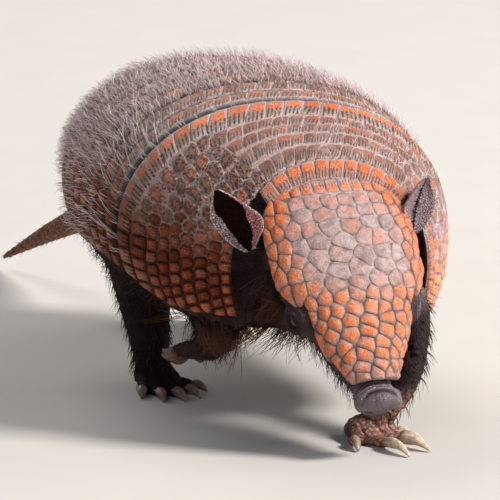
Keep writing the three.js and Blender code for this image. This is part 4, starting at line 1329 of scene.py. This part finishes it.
def subdivide_where(mesh, wanted):
    """Splits the faces whose points are all wanted."""
    edit = bmesh.new()
    edit.from_mesh(mesh)
    edit.verts.ensure_lookup_table()
    edges = {edge for face in edit.faces if all(wanted[v.index] for v in face.verts)
             for edge in face.edges}
    bmesh.ops.subdivide_edges(edit, edges=list(edges), cuts=1, use_grid_fill=True)
    edit.to_mesh(mesh)
    edit.free()


def read(items, label, width=1, kind=float):
    """Values that Blender holds for each item, as a table with width columns."""
    flat = np.empty(len(items) * width, kind)
    items.foreach_get(label, flat)
    return flat.reshape(-1, width)


def points_of(mesh):
    return read(mesh.vertices, "co", 3) / MM - FRAME_SHIFT


def normals_in(mesh):
    return read(mesh.vertex_normals, "vector", 3)


def set_points(mesh, points):
    mesh.vertices.foreach_set("co", ((points + FRAME_SHIFT) * MM).ravel())
    mesh.update()


def smooth(mesh, rounds, keep):
    """Evens out the mesh's points and gives them; keep is how much of their places is held."""
    points = points_of(mesh)
    count = len(points)
    a, b = read(mesh.edges, "vertices", 2, int).T
    degree = np.bincount(a, minlength=count) + np.bincount(b, minlength=count)
    for _ in range(rounds):
        total = [np.bincount(a, points[b, k], count) + np.bincount(b, points[a, k], count)
                 for k in range(3)]
        points = mix(np.stack(total, axis=1) / degree[:, None], points, keep)
    set_points(mesh, points)
    return points


def head_coordinates(points):
    """Distances along the head's axis, up from it and sideways."""
    away = points - OCCIPUT
    return away @ HEAD_AXIS, away @ HEAD_UP, away[:, 0]


EYE_OUT = unit(0.86 * SIDEWAYS + 0.36 * HEAD_AXIS + 0.3 * HEAD_UP)  # the left eye's gaze
LID_HALF_LENGTH = 3.9
LID_HALF_HEIGHT = 1.9
LID_THICKNESS = 1.1
LID_SPREAD = 15


def eye_axes(side):
    """The eye's gaze, and the directions along and over its lids."""
    gaze = EYE_OUT * np.array([side, 1, 1])
    along = unit(HEAD_AXIS - gaze * (HEAD_AXIS @ gaze))
    return gaze, along, np.cross(gaze, along)


def eyelids(points):
    """Lids round each eye: the skin swells over the eyeball and opens along its middle."""
    for side in (-1, 1):
        gaze, along, over = eye_axes(side)
        away = points - eye_centre(side)
        out, a, b = away @ gaze, away @ along, away @ over
        flat = np.hypot(a, b)
        near = ease(flat, LID_SPREAD, 7) * (out > -8)
        opening = np.hypot(a / LID_HALF_LENGTH, b / LID_HALF_HEIGHT)
        mound = EYE_RADIUS + LID_THICKNESS - flat ** 2 / (2 * (EYE_RADIUS + 4.5))
        covered = np.maximum(out, mound) + 0.35 * np.exp(-((opening - 1.3) / 0.25) ** 2)
        folds = 0.4 * np.cos(np.maximum(flat - 4, 0) * 2.3 + 0.5 * a) * ease(flat, 3, 5)
        behind = EYE_RADIUS - 2.6 - 1.4 * ease(opening, 1.0, 0.7)
        target = np.where(opening < 1.0, behind, covered + folds)
        points = moved(points, (gaze, (target - out) * near))
    return points


NOSE_WIDENING = 0.2
NOSE_CREASE = 117.2  # where along the head the crease over the nose's bulb runs
NOSE_TOP = (-8, -3)  # the crease comes in between these heights
NOSTRIL_SIDE = 5.2
NOSTRIL_UP = -3.5
NOSTRIL_FLATNESS = 1.25


def nose_bow(along, side):
    """How far forward a point is, counted along the bow of the nose's front."""
    return along - side ** 2 / 26


def from_nostril(side, up):
    """Distance from the middle of the nostril on the positive side."""
    return np.hypot(side - NOSTRIL_SIDE, (up - NOSTRIL_UP) * NOSTRIL_FLATNESS)


def bump(value, middle, width):
    """1 at the middle, falling to 0 on both sides within about twice the width."""
    return np.exp(-((value - middle) / width) ** 2)


def face_details(points, normals):
    """Nose, mouth line and creases of the face."""
    along, up, side = head_coordinates(points)
    at_nose = ease(along, 104, 112) * (np.abs(side) < 20) * (along < 129) * (up > -22)
    bow, upper = nose_bow(along, side), ease(up, *NOSE_TOP)
    crease = bump(bow, NOSE_CREASE, 0.9) * ease(np.abs(side), 10, 6) * upper
    hood = bump(bow, 115, 1.3) * ease(np.abs(side), 13, 8) * upper
    bulb = ease(along - side ** 2 / 70, NOSE_CREASE, 120.5) * ease(up, -19, -12)
    wrinkle = np.cos(bow * 3.1 + 0.5 * ripple(points, 6, 21))
    wrinkle = wrinkle * ease(along, 103, 107) * ease(bow, 116, 114)
    swelling = 1.5 * bulb + 0.1 * hood + 0.35 * wrinkle - 1.7 * crease
    pits = [bump(from_nostril(nostril * side, up), 0, 2.0) * ease(along, 117, 121)
            for nostril in (-1, 1)]
    mouth = bump(up, jaw(along) * 0.62 - 1.5, 1.1) * ease(along, 66, 80) * ease(along, 121, 116)
    folds = np.cos((along + 0.5 * up) * 0.9 + 2 * np.sin(up * 0.25)) * ease(along, 84, 66)
    below = ease(up, -4, -14) * ease(along, 20, 40) * (np.abs(side) < 60)
    return moved(points, (normals, swelling * at_nose), (HEAD_AXIS, bulb * at_nose * 2.4),
                 (SIDEWAYS, side * NOSE_WIDENING * ease(along, 114, 121) * at_nose),
                 *[(HEAD_AXIS, -4.5 * pit * (along < 127)) for pit in pits],
                 (normals, -1.5 * mouth * (np.abs(side) > 2)), (normals, 0.4 * folds * below))


def between_toes(points):
    """How near each point is to a cleft between two toes, from 0 to 1."""
    cleft = np.zeros(len(points))
    for leg in LEGS.values():
        local = (points - np.array(leg.sole)) @ foot_matrix(leg)
        away = []
        for digit in leg.digits:
            knuckle, _, ahead, sideways = digit_frame(leg, digit)
            out = (local - knuckle) @ ahead
            away.append(np.abs((local - knuckle) @ sideways) + 100 * (np.abs(out - 3) > 15))
        away = np.sort(away, axis=0)
        on_foot = (np.abs(local[:, 2] - 8) < 14) & (away[1] < 12)
        near = bump(away[1] - away[0], 0, 1.5) * ease(local[:, 1], 4, -6)
        cleft = np.maximum(cleft, near * on_foot)
    return cleft


TAIL_RING = 6.2  # length of one ring of the tail
TAIL_ONSET = (128, 150)  # its rings and scales come in between these y
BELLY_FOLD = 11


def body_details(points, normals):
    """Rings of the tail, folds of the belly and neck, wrinkles of the legs and clefts between
    the toes."""
    _, y, z = points.T
    tail = ease(y, *TAIL_ONSET) * (z < 110)
    rings = np.abs(np.sin((y * 0.9 - z * 0.45) * math.pi / TAIL_RING)) ** 0.6
    points = moved(points, (normals, tail * 0.55 * (rings - 0.6)))
    belly = ease(normals[:, 2], -0.3, -0.8) * (np.abs(y) < 115) * ease(z, 30, 38)
    folds = np.sin(y * 2 * math.pi / BELLY_FOLD + ripple(points, 60, 5))
    neck = ease(y, -70, -84) * ease(y, -112, -100) * ease(z, 45, 60)
    points = moved(points, (normals, belly * 0.7 * folds),
                   (normals, neck * 0.8 * np.sin(y * 1.3 + 0.4 * z)))
    legs = ease(z, 62, 50) * (y < 150) * (y > -150)
    wrinkles = ripple(points * np.array([1, 1, 2.2]), 5.5, 8)
    points = moved(points, (normals, legs * 0.35 * wrinkles))
    return moved(points, (normals, -1.6 * between_toes(points) * (normals[:, 2] > -0.3)))


def skin_looks(points):
    """Looks: nose, red, ear (grey on the neck's side), scaly. Place: tail, none, grey, painted shade.
    """
    along, up, side = head_coordinates(points)
    x, y, z = points.T
    on_head = (y < -100) & (np.abs(side) < 46) & (along > 20) & (along < 129)
    on_head &= (up > jaw(along) - 3) & (np.abs(side) < cheek(along) + np.where(along > 110, 8, 2.5))
    nose = ease(along, 108, 114) * on_head * (np.abs(side) < 22) * (up > -20)
    foot = ease(z, 34, 18) * (y < -90) * (1 - nose)
    lifted_leg = ease(np.hypot(x + 48, y + 52), 40, 30) * ease(z, 76, 60)
    inner_toe = ease(x, 3, -4) * (y < -125)
    # The lifted right foreleg gets a little of the foot's red: painted red light bounced from the soil.
    red = np.clip(0.95 * foot * (1 - 0.8 * inner_toe) + 0.2 * lifted_leg, 0, 1) * (1 - nose)
    scaly = 0.7 * ease(y, *TAIL_ONSET) + 0.6 * foot + 0.25 * on_head
    # Painted shade: the low body, legs and feet turn very dark, as they lie in shade.
    painted_shade = ease(z, 100, 70) * ease(y, 150, 125) * (1 - red) * (1 - on_head)
    fold = bump(nose_bow(along, side), 117.6, 1.0) * ease(np.abs(side), 12, 7)
    fold = fold * ease(up, *NOSE_TOP)
    nostrils = bump(from_nostril(np.abs(side), up), 0, 2.2) * (along > 118)
    under_nose = 0.55 * ease(up, -4, -16)
    # The nose's crease, its nostrils and its underside get painted shade too.
    painted_shade = np.maximum(painted_shade, nose * np.maximum(np.clip(fold + nostrils, 0, 1), under_nose))
    neck = ease(y, -60, -75) * (1 - on_head)
    grey = neck * np.maximum(0.6 * ease(x, 22, 34) * ease(z, 62, 74),
                             0.45 * ease(z, 112, 122))
    painted_shade = painted_shade * (1 - grey) * (1 - 0.35 * neck)
    looks = np.stack([nose, red, grey, np.clip(scaly * (1 - nose), 0, 1)], axis=1)
    return looks, np.stack([ease(y, 130, 150), 0 * z, grey > 0, painted_shade], axis=1)


def flesh():
    """Closed solids of all the flesh but the ears."""
    rings = [trunk_rings(), head_rings(np.linspace(0, 1, 60)), neck_rings(), tail_rings()]
    for leg in LEGS.values():
        rings += [leg_rings(leg), palm_rings(leg), *[toe_rings(leg, digit) for digit in leg.digits]]
    return [outwards(ring_patch(ring)) for ring in rings]


def refine(mesh, points):
    """Splits the faces of the face, of the forefoot on the ground and, once more, of the nose."""
    along, _, side = head_coordinates(points)
    subdivide_where(mesh, (points[:, 1] < -100) & (along > 50) & (np.abs(side) < 44)
                    & (points[:, 2] > 14))
    x, y, z = points_of(mesh).T
    subdivide_where(mesh, (z < 20) & (y < -118) & (np.abs(x) < 40))
    along, up, side = head_coordinates(points_of(mesh))
    subdivide_where(mesh, (along > 104) & (along < 127) & (np.abs(side) < 20) & (up > -24))


def faces_of(mesh):
    """Tables of the corners of the mesh's faces, one for each number of corners."""
    corners = read(mesh.polygons, "loop_total", kind=int)[:, 0]
    loops = read(mesh.loops, "vertex_index", kind=int)[:, 0]
    starts = np.concatenate([[0], np.cumsum(corners)[:-1]])
    return [np.stack([loops[starts[corners == n] + k] for k in range(n)], axis=1)
            for n in np.unique(corners)]


def skin():
    """One skin over trunk, neck, head, legs, ears and tail."""
    piece = mesh_object("armadillo_skin", flesh(), unwrapped=False)
    remesh(piece)
    mesh = piece.data
    refine(mesh, smooth(mesh, 6, 0.3))
    points = face_details(eyelids(smooth(mesh, 2, 0.5)), normals_in(mesh))
    set_points(mesh, points)
    points = body_details(points, normals_in(mesh))
    points[:, 2] = np.maximum(points[:, 2], 0)
    body = patch(points, faces_of(mesh), *skin_looks(points))
    bpy.data.objects.remove(piece)
    return mesh_object("armadillo_skin", [body, *map(ear_patch, EARS)], unwrapped=False)


# ------------ claws and eyes


CLAW_ROOT = 2.2  # how far a claw runs back into its toe
CLAW_REACH = 0.9  # how far ahead a claw's tip is, as a share of its length
CLAW_ARCH = 0.18  # how far it arches up, as a share of its length
CLAW_TIP_HEIGHT = 0.9
DARK_CLAW_TURN = -30  # on the left side, a claw turned further in than this is dark
CORNEA_BULGE = 0.05


def claw_patch(leg, digit):
    """Curved claw, ridged above and hollowed below, growing out of its toe."""
    _, end, ahead, sideways = digit_frame(leg, digit)
    turn_out, length = digit[1], digit[3]
    root = end - ahead * CLAW_ROOT
    tip = end + ahead * length * CLAW_REACH
    tip[2] = CLAW_TIP_HEIGHT
    arch = mix(end, tip, 0.5)
    arch[2] = end[2] + length * CLAW_ARCH
    t = np.linspace(0, 1, 18)[:, None]
    centre = (1 - t) ** 2 * root + 2 * t * (1 - t) * arch + t ** 2 * tip
    taper = mix(1.12, CLAW_POINT, t ** 2.6) * np.minimum(1, 0.8 + t * 2)
    centre[:, 2] = np.maximum(centre[:, 2], (CLAW_HEIGHT * taper)[:, 0] * 0.8 + 0.25)
    turn = turns(20)
    wide = np.cos(turn) * (1 - 0.18 * np.maximum(np.sin(turn), 0))
    hollowed = 0.72 * np.sin(turn) + 0.28 * np.cos(2 * turn) + 0.28
    high = np.where(np.sin(turn) > 0, np.sin(turn), hollowed)
    rings = moved(centre[:, None], (sideways, CLAW_HALF_WIDTH * taper * wide),
                  (UP, CLAW_HEIGHT * taper * high))
    looks = np.zeros(rings.shape[:2] + (4,))
    looks[..., 0] = t
    looks[..., 1] = np.clip(0.4 - 0.4 * np.sin(turn), 0, 1)
    # Darkness: painted shade on the claws of the right feet; the left forefoot's innermost claw is
    # darker too.
    looks[..., 2] = 1.0 if leg.outward < 0 else 0.75 * (turn_out < DARK_CLAW_TURN)
    return ring_patch(placed(leg, rings), looks)


def claws():
    solids = [claw_patch(leg, digit) for leg in LEGS.values() for digit in leg.digits]
    return mesh_object("armadillo_claws", solids, unwrapped=False)


def eye_patch(side):
    """Eyeball with a cornea that bulges in front of the iris."""
    gaze, along, over = eye_axes(side)
    polar = np.linspace(0.03, np.pi - 0.03, 28)[:, None]
    turn = turns(36)
    radius = EYE_RADIUS * (1 + CORNEA_BULGE * ease(polar, 0.95, 0.3))
    rings = moved(eye_centre(side), (gaze, radius * np.cos(polar) + 0 * turn),
                  (along, radius * np.sin(polar) * np.cos(turn)),
                  (over, radius * np.sin(polar) * np.sin(turn)))
    looks = np.zeros(rings.shape[:2] + (4,))
    looks[..., 0] = polar
    return ring_patch(rings, looks)


def eyes():
    return mesh_object("armadillo_eyes", [eye_patch(-1), eye_patch(1)], unwrapped=False)


# ------------ hair

HAIR_STEPS = 4
HAIR_SIDES = 3
HAIR_PATCH = 0.003  # size of a hair's own spot on the unwrap
HAIR_UV_START, HAIR_UV_LENGTH = -9, 290  # the run that the carapace hair's unwrap covers


def growth(length, width, rise, settle=(0, 0.35), tousle=0.25, bend=0.25):
    """How hairs grow. Length and width in mm, the angle to the skin at the root and the one that
    they settle to are ranges; tousle is how much their lie varies, bend how much they curve."""
    return SimpleNamespace(ranges=(length, width, rise, settle), tousle=tousle, bend=bend)


def strands(roots, normals, lie, grown, uv):
    """Thin tapered three-sided hairs that run along their lie. Looks: distance from the root,
    tone."""
    count = len(roots)
    lie = lie + grown.tousle * rng.normal(size=(count, 3))
    length, width, rise, settle = (rng.uniform(*limits, (count, 1)) for limits in grown.ranges)
    t = np.linspace(0, 1, HAIR_STEPS + 1)[None]
    lie = unit(lie - normals * (lie * normals).sum(axis=1, keepdims=True))
    aside = np.cross(normals, lie)
    angle = mix(rise, settle, t ** 0.8)
    sway = rng.normal(0, grown.bend, (count, 1)) * t * 1.5
    direction = unit(moved(0, (lie[:, None], np.cos(angle)), (normals[:, None], np.sin(angle)),
                           (aside[:, None], sway)))
    steps = direction[:, :-1] * (length / HAIR_STEPS)[..., None]
    steps = np.concatenate([np.zeros((count, 1, 3)), np.cumsum(steps, axis=1)], axis=1)
    centre = roots[:, None] + steps
    beside = unit(np.cross(direction, normals[:, None] + 0.01))
    above = np.cross(beside, direction)
    radius = width / 2 * mix(1.0, 0.22, t ** 1.3)
    corners = math.pi / 2 + 2 * math.pi / HAIR_SIDES * np.arange(HAIR_SIDES)
    rings = np.stack([moved(centre, (beside, radius * math.cos(corner)),
                            (above, radius * math.sin(corner))) for corner in corners], axis=2)
    size = (HAIR_STEPS + 1) * HAIR_SIDES
    starts = (np.arange(count) * size)[:, None, None]
    sides = grid_faces(HAIR_STEPS + 1, HAIR_SIDES, closed=True)
    ends = np.array([[2, 1, 0], [size - 3, size - 2, size - 1]])
    looks = np.zeros((*rings.shape[:3], 4))
    looks[..., 0] = t[..., None]
    looks[..., 1] = rng.uniform(0, 1, (count, 1, 1))
    spread = [np.linspace(-0.5, 0.5, number) for number in (HAIR_STEPS + 1, HAIR_SIDES)]
    spot = np.stack(np.meshgrid(*spread, indexing="ij"), axis=-1) * HAIR_PATCH
    return patch(rings, [joined(4, sides[None] + starts), joined(3, ends[None] + starts)], looks,
                 uv=uv[:, None, None] + spot)


def carapace_hair(run, across, sink, grown, upward=0.0):
    """Hairs rooted sink mm under the carapace's surface, lying towards the tail; upward turns those
    of the right flank up."""
    roots = lifted(BACK, run, across, np.full(len(run), -sink))
    lie = unit(carapace_point(run + 1, across) - carapace_point(run - 1, across))
    if upward:
        leftwards = carapace_point(run, across + 0.01) - carapace_point(run, across - 0.01)
        lie = lie + upward * unit(leftwards)
    uv = 0.01 + 0.98 * np.stack([(run - HAIR_UV_START) / HAIR_UV_LENGTH, (across + 1) / 2], axis=1)
    return strands(roots, normals_of(BACK, run, across), lie, grown, uv)


def back_hair(count, runs, reach, length, density, in_rows=0.0):
    """Hairs over part of the carapace, some of them in rows along the bands' hind edges."""
    run = rng.uniform(*runs, count)
    row = BANDS_START + BAND_LENGTH * np.round((run - BANDS_START) / BAND_LENGTH)
    row = row + rng.normal(-0.6, 0.9, count)
    run = np.where(rng.uniform(0, 1, count) < in_rows, row, run)
    across = rng.uniform(-reach, reach, count)
    kept = rng.uniform(0, 1, count) < density(run, across)
    return carapace_hair(run[kept], across[kept], 0.4,
                         growth(length, (0.28, 0.42), (0.5, 1.1), (-0.05, 0.45), 0.3, 0.3))


def seam_hair(seam_run, clusters, per_cluster, length, reach=0.9):
    """Clusters of white hairs that cross the seam in front of a band."""
    across = np.repeat(np.linspace(-reach, reach, clusters), per_cluster)
    across = across + rng.uniform(-1, 1, len(across)) * 0.35 / clusters
    run = seam_run + rng.uniform(-0.6, 0.3, len(across))
    return carapace_hair(run, across, 0.3,
                         growth(length, (0.26, 0.36), (0.25, 0.6), (0, 0.2), 0.12, 0.12))


def flank_hair():
    """Long white hairs of the right flank, swept back and up from the first seams."""
    count = 64
    tuft = rng.integers(0, 14, count)
    across = -0.40 - 0.034 * tuft + rng.normal(0, 0.006, count)
    run = BANDS_START + rng.choice([0.0, BAND_LENGTH, 2 * BAND_LENGTH], count, p=[0.5, 0.3, 0.2])
    run = run + rng.normal(0, 0.8, count)
    return carapace_hair(run, across, 0.3,
                         growth((14, 27), (0.3, 0.42), (0.2, 0.6), (-0.1, 0.25), 0.1, 0.3), 0.45)


def skin_hair(tree, rings, island, count, grown, wanted=None, along=1.0, pull=(0, 0, -0.25)):
    """Hairs on the skin over a loft of rings, rooted where the loft is nearest to the skin. They
    lie along the loft and are pulled; their island on the unwrap is its corner and its size."""
    around, sides = rings.shape[:2]
    i, j = rng.integers(1, around - 1, count), rng.integers(0, sides, count)
    places = mix(rings[i, j], rings[i, (j + 1) % sides], rng.uniform(0, 1, (count, 1)))
    lie = unit(rings[i + 1, j] - rings[i - 1, j]) * along + np.array(pull)
    uv = np.stack([island[0] + island[2] * i / around, island[1] + island[3] * j / sides], axis=1)
    if wanted is not None:
        kept = wanted(places)
        places, lie, uv = places[kept], lie[kept], uv[kept]
    nearest = [tree.find_nearest(Vector(place))[:2] for place in places]
    roots, normals = (np.array(found) for found in zip(*nearest))
    return strands(roots - normals * 0.4, normals, lie, grown, uv)


def back_fuzz(run, across):
    """How dense the grizzled hair is: thin low on the flanks."""
    return mix(1.0, np.where(across < 0, 0.12, 0.3), ease(np.abs(across), 0.56, 0.8))


def band_fuzz(run, across):
    """The same, and thinner towards the first bands."""
    return back_fuzz(run, across) * ease(run, 76, 96)


def shoulder_hair(run, across):
    """How dense the white hair of the shoulders is: none on the right."""
    return ease(across, -0.2, 0.1)


def under_head(places):
    along, up, _ = head_coordinates(places)
    return (up < -16) & (along < 116)


def on_throat(places):
    along, up, side = head_coordinates(places)
    return (along > 28) & (along < 66) & (up < -15) & (side < 4)


def on_breast(places):
    x, y, z = places.T
    return (z < 62) & (y < -66) & (x < 20)


def coat(skin_piece):
    """All hair, in pieces of their own: name, patches and material."""
    white, fuzz = hair_material("hair_white", *WHITE_HAIR), hair_material("hair_fuzz", *FUZZ)
    dark, brown = hair_material("hair_dark", *DARK_HAIR), hair_material("hair_brown", *BROWN_HAIR)
    mesh = skin_piece.data
    tree = BVHTree.FromPolygons([Vector(p) for p in points_of(mesh)],
                                [p.vertices[:] for p in mesh.polygons])

    bands = [back_hair(8200, (76, PELVIC_START), 0.97, (6, 12), band_fuzz, 0.6)]
    rump = [back_hair(8200, (PELVIC_START, 276), 0.97, (6, 12), back_fuzz)]
    seams = [seam_hair(SCAPULAR[1], 33, 4, (5, 9)),
             seam_hair(BANDS_START + BAND_LENGTH - 0.6, 33, 4, (5, 10)),
             seam_hair(-0.6, 12, 3, (3, 6), 0.4), flank_hair()]
    shoulders = [back_hair(450, (12, 60), 0.6, (3, 6), shoulder_hair)]

    head = head_rings(np.linspace(0, 1, 40))
    leg_growth = growth((5, 10), (0.3, 0.5), (0.3, 0.8))
    underside = [skin_hair(tree, leg_rings(leg), (0.02 + 0.24 * k, 0.02, 0.2, 0.45), 900, leg_growth,
                           lambda p: p[:, 2] < 84) for k, leg in enumerate(LEGS.values())]
    underside.append(skin_hair(tree, trunk_rings(), (0.02, 0.52, 0.4, 0.45), 5200,
                               growth((7, 14), (0.3, 0.5), (0.3, 0.8)), lambda p: p[:, 2] < 76))
    underside.append(skin_hair(tree, head, (0.5, 0.52, 0.2, 0.45), 2400,
                               growth((4, 13), (0.25, 0.45), (0.35, 0.9)), under_head))
    throat = [skin_hair(tree, trunk_rings()[:16], (0.5, 0.02, 0.45, 0.9), 9000,
                        growth((14, 30), (0.32, 0.5), (0.3, 0.9)), on_breast, 0.0, (-0.5, -0.4, -0.8)),
              skin_hair(tree, head, (0.02, 0.02, 0.45, 0.9), 5000,
                        growth((12, 28), (0.32, 0.5), (0.4, 1.2)), on_throat, 0.0, (-0.5, 0.2, -0.8))]
    tail = [skin_hair(tree, tail_rings(), (0.02, 0.02, 0.9, 0.9), 500,
                      growth((3, 6), (0.2, 0.3), (0.15, 0.5)))]
    return [("coat_bands", bands, fuzz), ("coat_rump", rump, fuzz), ("coat_seams", seams, white),
            ("coat_shoulders", shoulders, white), ("coat_underside", underside, dark),
            ("coat_tail", tail, brown), ("coat_throat", throat, brown)]


# ------------ stage, light and camera

CAMERA_TURN = math.radians(-22)
CAMERA_RISE = math.radians(13)
CAMERA_DISTANCE = 4000
PIXELS_PER_MM = 1.87
FIT_POINT = np.array([0, -38, 165])  # this point of the back shows at FIT_PIXEL
FIT_PIXEL = (284, 102)
PICTURE = 500
SENSOR = 36
STUDIO_MIDDLE = (0, 0, 0.08)


def aim(thing, place, target):
    """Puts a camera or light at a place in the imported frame, looking at its target."""
    place, target = Vector(place), Vector(target)
    thing.location = place
    thing.rotation_euler = (target - place).to_track_quat("-Z", "Y").to_euler()


def camera():
    """The photo's camera, placed so that FIT_POINT shows at FIT_PIXEL."""
    back = np.array([math.sin(CAMERA_TURN) * math.cos(CAMERA_RISE),
                     -math.cos(CAMERA_TURN) * math.cos(CAMERA_RISE), math.sin(CAMERA_RISE)])
    right = np.array([math.cos(CAMERA_TURN), math.sin(CAMERA_TURN), 0])
    up = np.cross(back, right)
    middle = (FIT_POINT - right * (FIT_PIXEL[0] - PICTURE / 2) / PIXELS_PER_MM
              - up * (PICTURE / 2 - FIT_PIXEL[1]) / PIXELS_PER_MM)
    lens = bpy.data.cameras.new("camera")
    lens.sensor_width = SENSOR
    lens.lens = SENSOR * CAMERA_DISTANCE * PIXELS_PER_MM / PICTURE
    lens.clip_end = 50
    eye = bpy.data.objects.new("camera", lens)
    bpy.context.collection.objects.link(eye)
    aim(eye, (middle + back * CAMERA_DISTANCE + FRAME_SHIFT) * MM, (middle + FRAME_SHIFT) * MM)
    bpy.context.scene.camera = eye


def soft_light(name, place, size, watts, colour):
    """A square light; its place is in metres."""
    lamp = bpy.data.lights.new(name, "AREA")
    lamp.size = size
    lamp.energy = watts
    lamp.color = colour
    light = bpy.data.objects.new(name, lamp)
    bpy.context.collection.objects.link(light)
    aim(light, place, STUDIO_MIDDLE)


def stage():
    """Pale floor, soft key light from the animal's front left, and weak fill."""
    bpy.ops.mesh.primitive_plane_add(size=16)
    floor = bpy.context.object
    floor.name = "floor"
    finish = Finish("floor", Specular_IOR_Level=0.2)
    grain = finish.noise(40)
    floor.data.materials.append(finish.done(finish.blend(grain, *FLOOR),
                                            finish.span(grain, 0, 1, 0.8, 0.9), grain, 0.05))
    soft_light("key", (2.1, -1.5, 2.3), 0.7, 145, (1.0, 0.96, 0.9))
    soft_light("fill", (-2.0, -1.6, 1.0), 2.0, 7, (0.9, 0.94, 1.0))
    soft_light("side", (2.6, -0.6, 0.9), 1.2, 22, (1.0, 0.95, 0.88))
    soft_light("back", (-0.2, 2.2, 2.0), 1.6, 36, (1.0, 0.97, 0.92))
    world = bpy.data.worlds.new("studio")
    world.use_nodes = True
    sky = world.node_tree.nodes["Background"]
    sky.inputs["Color"].default_value = (0.85, 0.9, 1.0, 1)
    sky.inputs["Strength"].default_value = 0.27
    bpy.context.scene.world = world
    bpy.context.scene.view_settings.view_transform = "Standard"


# ------------ the whole animal

camera()
stage()

shell = scute_material("shell_scutes", SHELL_LOOK)
head_horn = scute_material("head_scutes", HEAD_LOOK)
finish_piece(nuchal_band(), shell, "scute", "nuchal_band")
finish_piece(scapular_shield(), shell, "scute", "scapular_shield")
for number in range(BAND_COUNT):
    finish_piece(movable_band(number), shell, "scute", f"band_{number + 1}")
finish_piece(pelvic_shield(), shell, "scute", "pelvic_shield")
finish_piece(head_shield(), head_horn, "scute", "head_shield")

hide = finish_piece(skin(), skin_material(), "skin", "trunk", "neck", "head", "tail", "ear_left",
                    "ear_right", *[f"leg_{name}" for name in LEGS])
finish_piece(claws(), claw_material(), "claw",
             *[f"claw_{name}_{k}" for name in LEGS for k in range(1, 6)])
finish_piece(eyes(), eye_material(), "eye", "eye_left", "eye_right")
for coat_name, patches, coat_material in coat(hide):
    finish_piece(mesh_object(coat_name, patches), coat_material, "hair")
